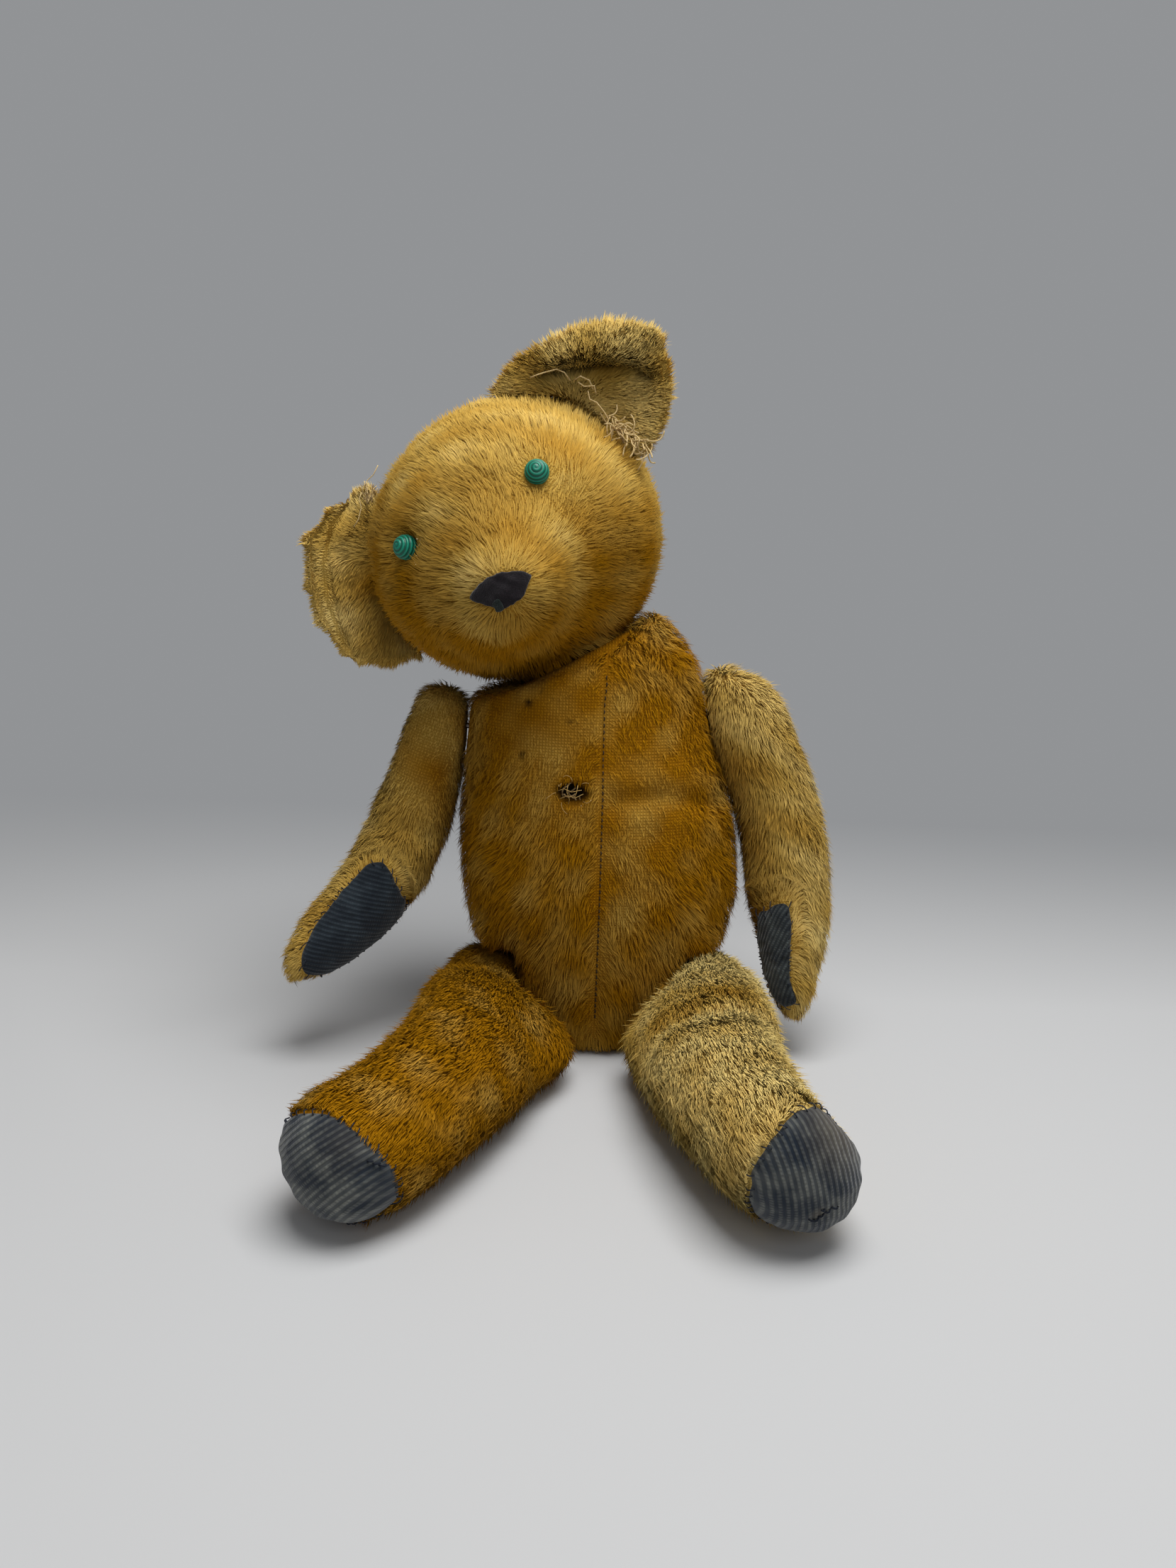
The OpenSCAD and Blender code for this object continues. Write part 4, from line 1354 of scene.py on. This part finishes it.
RIGHT_PAW_CUT = ((15, 1.28), (42, 1.5), (65, 1.1), (85, 1.06), (108, 1.24), (122, 1.26), (148, 0.9), (185, 0.74),
                 (210, 0.73), (240, 0.88), (262, 0.98), (290, 1.1), (318, 1.05), (347, 1.15))
LEFT_PAW_CUT = ((7, 0.73), (38, 0.87), (57, 1.07), (72, 1.23), (94, 1.07), (120, 1.1), (150, 1.0), (196, 0.95),
                (242, 1.0), (275, 1.17), (302, 1.2), (314, 0.9), (331, 0.78))
RIGHT_SOLE_CUT = ((6, 1.31), (22, 1.18), (45, 1.02), (70, 0.91), (95, 0.8), (128, 0.72), (165, 0.95), (210, 1.02),
                  (260, 0.95), (306, 0.95), (318, 1.1), (338, 1.46), (352, 1.4))
LEFT_SOLE_CUT = ((20, 0.88), (45, 0.9), (62, 0.93), (77, 1.04), (90, 1.13), (112, 1.09), (136, 1.04), (182, 1.02),
                 (205, 1.09), (240, 1.1), (290, 1.0), (340, 0.95))
PATCHES = {
    "right_paw_patch": ("right_arm", "right_paw_pad", "dark_denim", Guard(
        (-131, -26, 75), (0.276, -0.961, 0), (0.655, 0.188, 0.731), 50, 50, RIGHT_PAW_CUT)),
    "left_paw_patch": ("left_arm", "left_paw_pad", "denim", Guard(
        (104, -24, 54), (-0.72, -0.69, 0.05), (-0.1, 0.1, 0.99), 60, 60, LEFT_PAW_CUT)),
    "right_sole_patch": ("right_leg", "right_foot_pad", "denim", Guard(
        (-89.3, -186.8, 27), (-0.588, -0.809, 0), (0, 0, 1), 45, 45, RIGHT_SOLE_CUT)),
    "left_sole_patch": ("left_leg", "left_foot_pad", "denim", Guard(
        (73.9, -185.4, 36.5), (0.403, -0.905, -0.139), (0, 0, 1), 45, 45, LEFT_SOLE_CUT)),
}
LEAF = ((13, 0.99), (27, 0.83), (47, 0.66), (88, 0.58), (132, 0.78), (153, 1.03), (166, 1.32), (184, 0.92),
        (200, 0.74), (225, 0.62), (270, 0.56), (300, 0.62), (326, 0.78), (345, 0.92), (359, 1.18))
NOSE = Guard((-46.6, -70.6, 249.8), FACE_WAY, (-0.5, 0, 0.866), 34, 34, LEAF)
STITCH = Guard((-48.4, -70.6, 243.8), FACE_WAY, (-0.5, 0, 0.866), 9.5, 7.5)
LEFT_EYE, RIGHT_EYE = (-37.1, -66.6, 302.3), (-99.6, -59.0, 265.6)


BACKDROP = (0.285, 0.292, 0.302)
CAMERA_AT = (-0.0079, -0.615, 0.265)
CAMERA_DOWN, CAMERA_ROLL = 11.4, 2.08
VIEW_ANGLE = 2 * math.atan(0.69125)


class Studio:
    """Pale floor, soft light and the camera."""

    def build(self) -> None:
        """Makes the studio."""
        self.floor()
        self.world()
        self.lamp("top_softbox", (0.15, -0.29, 1.25), (0.0, -0.02, 0.12), 0.85, 0.75, 16.2)
        self.lamp("front_softbox", (0.45, -1.4, 0.85), (0.0, 0.0, 0.15), 1.0, 1.0, 3.1)
        self.camera()

    def floor(self) -> None:
        """Plain pale floor."""
        deselect()
        bpy.ops.mesh.primitive_circle_add(vertices=64, radius=6.0, fill_type="NGON", location=(0, 0, -0.0005))
        floor = bpy.context.object
        floor.name = "studio_floor"
        choose(floor)
        bpy.ops.object.transform_apply(location=True)
        tree = Tree("studio_floor")
        tree.set(Base_Color=(0.56, 0.563, 0.565, 1), Roughness=0.8, Specular_IOR_Level=0.1)
        away = tree.add("SeparateXYZ", {"Vector": tree.place()}).outputs["Y"]
        far = tree.add("MapRange", {"Value": away, "From Min": 0.05, "From Max": 0.55}).outputs["Result"]
        glow = tree.add("Emission", {"Color": (*BACKDROP, 1), "Strength": 1.0}).outputs[0]
        output = next(n for n in tree.nodes if n.type == "OUTPUT_MATERIAL")
        lit = output.inputs[0].links[0].from_socket
        blend = tree.add("MixShader", {0: far, 1: lit, 2: glow}).outputs[0]
        tree.links.new(blend, output.inputs[0])
        dress(floor, tree.material)

    def world(self) -> None:
        """Pale surroundings: seen by the camera and by gloss, softer as light."""
        world = bpy.data.worlds.new("studio")
        world.use_nodes = True
        nodes, links = world.node_tree.nodes, world.node_tree.links
        nodes.clear()
        out = nodes.new("ShaderNodeOutputWorld")
        seen, lit, blend = (nodes.new(kind) for kind in ("ShaderNodeBackground", "ShaderNodeBackground",
                                                         "ShaderNodeMixShader"))
        seen.inputs[0].default_value = (*BACKDROP, 1)
        lit.inputs[0].default_value = (0.97, 0.98, 1.0, 1)
        lit.inputs[1].default_value = 0.18
        path = nodes.new("ShaderNodeLightPath")
        add = nodes.new("ShaderNodeMath")
        more = nodes.new("ShaderNodeMath")
        add.operation = more.operation = "MAXIMUM"
        links.new(path.outputs["Is Camera Ray"], add.inputs[0])
        links.new(path.outputs["Is Glossy Ray"], add.inputs[1])
        links.new(add.outputs[0], more.inputs[0])
        links.new(path.outputs["Is Transmission Ray"], more.inputs[1])
        links.new(more.outputs[0], blend.inputs[0])
        links.new(lit.outputs[0], blend.inputs[1])
        links.new(seen.outputs[0], blend.inputs[2])
        links.new(blend.outputs[0], out.inputs[0])
        bpy.context.scene.world = world

    def lamp(self, name: str, at: Point, to: Point, wide: float, tall: float, power: float) -> None:
        """A soft rectangular lamp.

        Args:
            name: The lamp's name.
            at: Its place in metres.
            to: What it faces.
            wide: Its width in metres.
            tall: Its height in metres.
            power: Its power in watts.
        """
        light = bpy.data.lights.new(name, "AREA")
        light.shape, light.size, light.size_y, light.energy = "RECTANGLE", wide, tall, power
        lamp = bpy.data.objects.new(name, light)
        lamp.location = at
        lamp.rotation_euler = (Vector(to) - Vector(at)).to_track_quat("-Z", "Y").to_euler()
        bpy.context.scene.collection.objects.link(lamp)

    def camera(self) -> None:
        """The camera: a little above the bear's shoulder, looking down, slightly rolled."""
        data = bpy.data.cameras.new("camera")
        data.sensor_fit = "VERTICAL"
        data.angle = VIEW_ANGLE
        camera = bpy.data.objects.new("camera", data)
        tilt = Matrix.Rotation(math.radians(90 - CAMERA_DOWN), 4, "X")
        turn = tilt @ Matrix.Rotation(math.radians(CAMERA_ROLL), 4, "Z")
        camera.matrix_world = Matrix.Translation(CAMERA_AT) @ turn
        bpy.context.scene.collection.objects.link(camera)
        bpy.context.scene.camera = camera


class Bear:
    """The whole bear, built part by part."""

    def __init__(self) -> None:
        """Sets out the forms and the shared finishes."""
        self.forms = [
            body_form(), head_form(),
            ear_form("left_ear_cloth", "left_ear", 17,
                     # Left ear: the pale top of the rolled lip is painted light, and the deep amber along the fold
                     # under it is painted shade.
                     (Spot((-10, -20, 376), 18, -0.5, (2.2, 1, 1)), Spot((-8, -16, 357), 9, 0.5, (2.6, 1, 0.6)),
                      Spot((-50, -10, 350), 14, 0.3)),
                     (Nap(Flow.AWAY, (-4, -8, 325)), Nap(Flow.ALONG, (1, 0, -0.2), (0, -18, 342), 22, 2.2)),
                     (Crease(LEFT_FOLD, 6.0, 3.6, 0.0, (1, 0.5, 1)),),
                     (Pull((-2, -22, 368), 16, (0, -6, -1), (2, 1, 1)), Pull((-34, -18, 378), 20, (-2, 0, -10)),
                      Pull((-8, -22, 382), 18, (0, 0, -6)), Pull((24, -24, 356), 14, (-4, 0, 0)),
                      Pull((20, -24, 374), 10, (1, 0, 5)),
                      Pull((-54, -12, 345), 12, (-3, 2, -2)), Pull((0, -10, 322), 16, (-2, 2, -5)))),
            ear_form("right_ear_cloth", "right_ear", 18,
                     # Right ear: the deep amber where it joins the head is painted shade.
                     (Spot((-122, 0, 250), 14, 0.9, (1, 1, 2)), Spot((-160, 0, 250), 18, -0.35, (1, 1, 2))),
                     (Nap(Flow.AWAY, (-112, 10, 255)), Nap(Flow.ALONG, (1, -0.3, -0.5), (-136, -4, 250), 15, 1.6)),
                     (Crease(RIGHT_SEAM, 1.6, 2.0, parting=0.5),),
                     (Pull((-120, 5, 262), 20, (5, 0, 0), (1, 1, 1.6)),
                      Pull((-156, 2, 240), 24, (4, 0, 0), (1, 1, 1.6))),
                     tuple(Spot(point, 7, 0.7) for point in RIGHT_SEAM[1:-1])),
            *limb_forms()]
        self.pile_finish = PileFinish().make()
        self.patches: dict[str, Patch] = {}

    def form(self, name: str) -> SoftForm:
        """The form of that name."""
        return next(f for f in self.forms if f.name == name)

    def build(self) -> None:
        """Makes every piece."""
        for form in self.forms:
            form.make_cloth()
            log.info("%s made", form.name)
        self.sew_patches()
        for form in self.forms:
            form.make_pile(self.neighbours(form), self.guards(form.body))
            form.declare(self.pile_finish)
        self.eyes()
        self.belly_seam()
        self.whip_stitches()
        self.darn()
        self.chest_hole()
        self.ear_threads()
        self.hardware()

    def neighbours(self, form: SoftForm) -> BVHTree:
        """Outsides of the CAD skins that move apart from a form."""
        points, faces = [], []
        for other in self.forms:
            if other.body == form.body:
                continue
            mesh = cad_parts[other.nodes[0]].data
            base = len(points)
            points.extend(v.co for v in mesh.vertices)
            faces.extend([base + i for i in p.vertices] for p in mesh.polygons)
        return BVHTree.FromPolygons(points, faces)

    def guards(self, body: str) -> list[Guard]:
        """Outlines of the patches on a body."""
        found = [g for b, _, _, g in PATCHES.values() if b == body]
        return found + [NOSE] if body == "head" else found

    def sew_patches(self) -> None:
        """Denim patches on paws and soles, and the felt nose."""
        plain = dict(dark=(0.004, 0.010, 0.020), pale=(0.22, 0.225, 0.195), pitch=2.4)
        finishes = {
            "right_paw_patch": DenimFinish("right_paw_denim", (0.004, 0.008, 0.014), (0.05, 0.07, 0.085), 62, 0.5,
                                           pitch=2.2),
            "left_paw_patch": DenimFinish("left_paw_denim", (0.007, 0.011, 0.015), (0.12, 0.14, 0.135), 24, 0.6,
                                          pitch=2.2),
            "right_sole_patch": DenimFinish("right_sole_denim", slant=45, fade=0.75, **plain),
            "left_sole_patch": DenimFinish("left_sole_denim", slant=-15, fade=0.6, stain_share=0.6, **plain)}
        stains = {"left_sole_patch": (Spot((97, -214, 58), 14, 0.9, (1, 2, 1), 0.7), Spot((86, -227, 23), 3, 0.8)),
                  "right_sole_patch": (Spot((-95, -217, 44), 9, 0.5, (1, 2, 1), 0.7),)}
        for name, (body, node, slot, guard) in PATCHES.items():
            form = self.form(body + "_cloth")
            lift = SOLE_LIFT if "sole" in name else PAW_LIFT
            patch = Patch(name, node, guard, DENIM_THICK, lift, stains=stains.get(name, ()),
                          ragged=0.012 if "left_sole" in name else 0.006)
            patch.make(surface_of(form.cloth), finishes[name].make())
            patch.declare(body, slot)
            self.patches[name] = patch
        head = surface_of(self.form("head_cloth").cloth)
        nose = Patch("felt_nose", "nose", NOSE, 1.6, 3.4, 26, 0.01)
        nose.make(head, FeltFinish("nose_felt", (0.004, 0.0025, 0.004), (0.018, 0.011, 0.015)).make())
        nose.declare("head", "nose_felt")
        stitch = Patch("nose_stitches", "nose_stitch", STITCH, 1.6, 3.8, 10, 0.03)
        stitch.make(head, FeltFinish("nose_thread", (0.006, 0.010, 0.009), (0.03, 0.045, 0.038)).make())
        stitch.declare("head", "nose_thread")
        self.patches["felt_nose"] = nose

    def eyes(self) -> None:
        """The two bead eyes."""
        bead = BeadFinish().make()
        Bead("left_bead_eye", "left_eye", 11.5, (-0.05, -0.93, 0.36), (0, -0.8, 0)).make(bead)
        Bead("right_bead_eye", "right_eye", 11.8, (-0.66, -0.74, 0.12), (0.8, -6.6, 0)).make(bead)

    def belly_seam(self) -> None:
        """Stitches down the middle of the torso."""
        surface = surface_of(self.form("body_cloth").cloth)
        seam = Threads("belly_seam_stitches", "body", "nose_thread",
                       ThreadFinish("seam_thread", (0.016, 0.011, 0.006), (0.05, 0.034, 0.018)), 0.6)
        points = np.array(BELLY_SEAM, float)
        for height in np.arange(24, 207, 3.4):
            x = float(np.interp(-height, -points[:, 2], points[:, 0]))
            ends = []
            for z in (height - 1.0, height + 1.0):
                place, normal, _, _ = surface.ray_cast(Vector((x, -120, z)) * MM, Vector((0, 1, 0)), 0.2)
                if place is not None:
                    ends.append((place, normal))
            if len(ends) == 2:
                seam.stitch(ends[0][0], ends[1][0], ends[0][1], 1.3)
        seam.make()

    def whip_stitches(self) -> None:
        """Hand stitches over the edges of the denim."""
        finish = ThreadFinish("whip_thread", (0.006, 0.008, 0.014), (0.030, 0.036, 0.05))
        plans = {"right_paw_patch": 34, "left_paw_patch": 30, "right_sole_patch": 40, "left_sole_patch": 38}
        for name, count in plans.items():
            body, _, slot, _ = PATCHES[name]
            patch = self.patches[name]
            surface = surface_of(self.form(body + "_cloth").cloth)
            rng = np.random.default_rng(len(name) * 7 + count)
            threads = Threads(name.replace("patch", "stitches"), body, slot, finish, 0.55)
            for turn in np.radians(np.linspace(0.0, 360, count, endpoint=False)):
                turn += rng.uniform(-0.04, 0.04)
                inner, out = patch.on_form(surface, 0.93, turn, patch.lift + 0.1)
                outer, _ = patch.on_form(surface, 1.03, turn + rng.uniform(0.02, 0.08), 1.6)
                threads.stitch(inner, outer, out, rng.uniform(0.5, 1.0))
            threads.make()

    def darn(self) -> None:
        """The darned hole low on the left sole, and the caught pucker on the right one."""
        finish = ThreadFinish("darning_thread", (0.004, 0.006, 0.012), (0.02, 0.025, 0.035))
        for name, places in (("left_sole", ((90, 26), (87.5, 24), (85, 22), (83, 20), (86, 25.5), (81.5, 21.5))),
                             ("right_sole", ((-84, 37), (-82, 35.5), (-86, 38.5)))):
            body = name.replace("sole", "leg")
            surface = surface_of(self.patches[name + "_patch"].thing)
            threads = Threads(name + "_darning", body, "denim", finish, 0.8)
            rng = np.random.default_rng(len(name))
            for x, z in places:
                start, normal, _, _ = surface.ray_cast(Vector((x, -260, z)) * MM, Vector((0, 1, 0)), 0.2)
                if start is not None:
                    end = start + Vector((rng.uniform(1.5, 3.2), 0.2, rng.uniform(-0.6, 1.8))) * MM
                    threads.stitch(start, end, normal, 0.7)
            threads.make()

    def chest_hole(self) -> None:
        """Broken ground threads across the hole in the chest, with wood wool behind them."""
        frayed = Threads("chest_hole_threads", "body", "mohair",
                         ThreadFinish("ground_thread", (0.26, 0.15, 0.04), (0.58, 0.38, 0.13)), 0.35)
        front = -51.0
        frayed.add([(-23, front + 0.8, 147), (-20, front - 0.6, 148.5), (-16, front - 1.0, 147),
                    (-11, front - 0.2, 148)])
        frayed.add([(-22, front + 0.4, 143), (-18, front - 0.8, 145), (-14, front - 0.8, 144), (-10, front, 146)])
        frayed.add([(-18, front, 150.5), (-18.5, front - 1.1, 147), (-17, front - 1, 143), (-17.5, front, 140.5)])
        frayed.add([(-13, front, 150.5), (-13.5, front - 1.2, 147), (-14.5, front - 0.8, 144)])
        for seed, (x, z, dx, dz) in enumerate(((-22, 150, -0.7, 0.5), (-11, 151, 0.5, 0.8), (-10, 142, 0.7, -0.5),
                                               (-21, 141, -0.5, -0.8), (-16, 152, 0.1, 0.9), (-24, 146, -1, 0))):
            frayed.wander((x, front + 0.6, z), (dx, -0.5, dz), 7, 0.55, seed)
        frayed.make()
        straw = Threads("chest_hole_wood_wool", "body", "wood_wool",
                        ThreadFinish("wood_wool_curl", (0.16, 0.09, 0.03), (0.50, 0.35, 0.16)), 0.9, 4)
        for seed in range(9):
            rng = np.random.default_rng(400 + seed)
            x, z = rng.uniform(-21, -11), rng.uniform(142, 150)
            straw.wander((x, -46.5 + rng.uniform(0, 2), z), rng.normal(size=3) * (1, 0.2, 1), 8, 0.35, seed)
        straw.make()

    def ear_threads(self) -> None:
        """Frayed backing threads where the left ear has torn, and strays on the right one."""
        pale = ThreadFinish("frayed_thread", (0.50, 0.34, 0.13), (0.80, 0.62, 0.32))
        left = Threads("left_ear_frayed_threads", "head", "mohair", pale, 0.75)
        left.add([(-44, -22, 350.5), (-40, -23, 352), (-37, -23, 353), (-31, -23, 354.8), (-27, -22.5, 353.5),
                  (-24, -21, 350)])
        left.add([(-22, -22, 350), (-19, -24, 351.8), (-14.5, -24, 350), (-12.5, -23, 346)])
        left.add([(-15, -23, 345), (-14, -24, 341), (-10.5, -25, 339.5), (-6.5, -25, 335), (-4, -26, 331)])
        left.add([(-20, -23, 349), (-17, -24, 347), (-12, -24, 347.5), (-11, -23, 344)])
        for seed in range(46):
            rng = np.random.default_rng(900 + seed)
            t = rng.random()
            start = np.array((-7 + 21 * t, -24 - 4 * t, 334 - 14 * t)) + rng.normal(size=3) * (1.6, 0.8, 1.6)
            way = rng.normal(size=3) * (0.9, 0.25, 0.8) + np.array((0.5, -0.35, -0.6))
            left.wander(tuple(start), tuple(way), rng.uniform(5, 15), rng.uniform(0.12, 0.5), seed, 0.08)
        left.make()
        right = Threads("right_ear_frayed_threads", "head", "mohair", pale, 0.5)
        right.add([(-130, -6, 295), (-128.5, -6, 299), (-125.5, -5, 302), (-123, -5, 307)])
        right.add([(-131, -8, 293), (-132, -9, 289.5), (-131, -9, 285), (-132.5, -9, 279), (-135, -9, 275)])
        for seed in range(26):
            rng = np.random.default_rng(700 + seed)
            start = (-127.5 + rng.normal() * 1.5, -5 + rng.normal(), 289 + rng.normal() * 1.5)
            right.wander(start, (rng.normal() * 0.4, rng.normal() * 0.3, 1), rng.uniform(5, 8.5), 0.12, seed)
        right.make()
        strays = Threads("right_eye_thread_ends", "head", "mohair", pale, 0.45)
        for seed, (x, y, z) in enumerate(((-94, -62, 270), (-93.5, -63, 266), (-94, -63, 262), (-95, -62, 259))):
            strays.wander((x, y, z), (0.7, -0.5, (-0.6, 0.2, -0.5, -0.9)[seed]), 4.5, 0.3, seed + 40)
        strays.make()

    def hardware(self) -> None:
        """Finishes for the discs, washers, pins and stuffing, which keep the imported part's shape."""
        board, steel, wool = BoardFinish().make(), SteelFinish().make(), WoodWoolFinish().make()
        for name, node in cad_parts.items():
            if name.endswith("_disc"):
                dress(node, board)
            elif name.endswith(("_washer", "_pin")):
                dress(node, steel)
            elif name.endswith("_stuffing"):
                dress(node, wool)


def main() -> None:
    """Builds the studio and the bear."""
    logging.basicConfig(level=logging.INFO, format="%(message)s")
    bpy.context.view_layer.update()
    bpy.context.scene.view_settings.view_transform = "Standard"
    Studio().build()
    Bear().build()


if __name__ == "__main__":
    main()
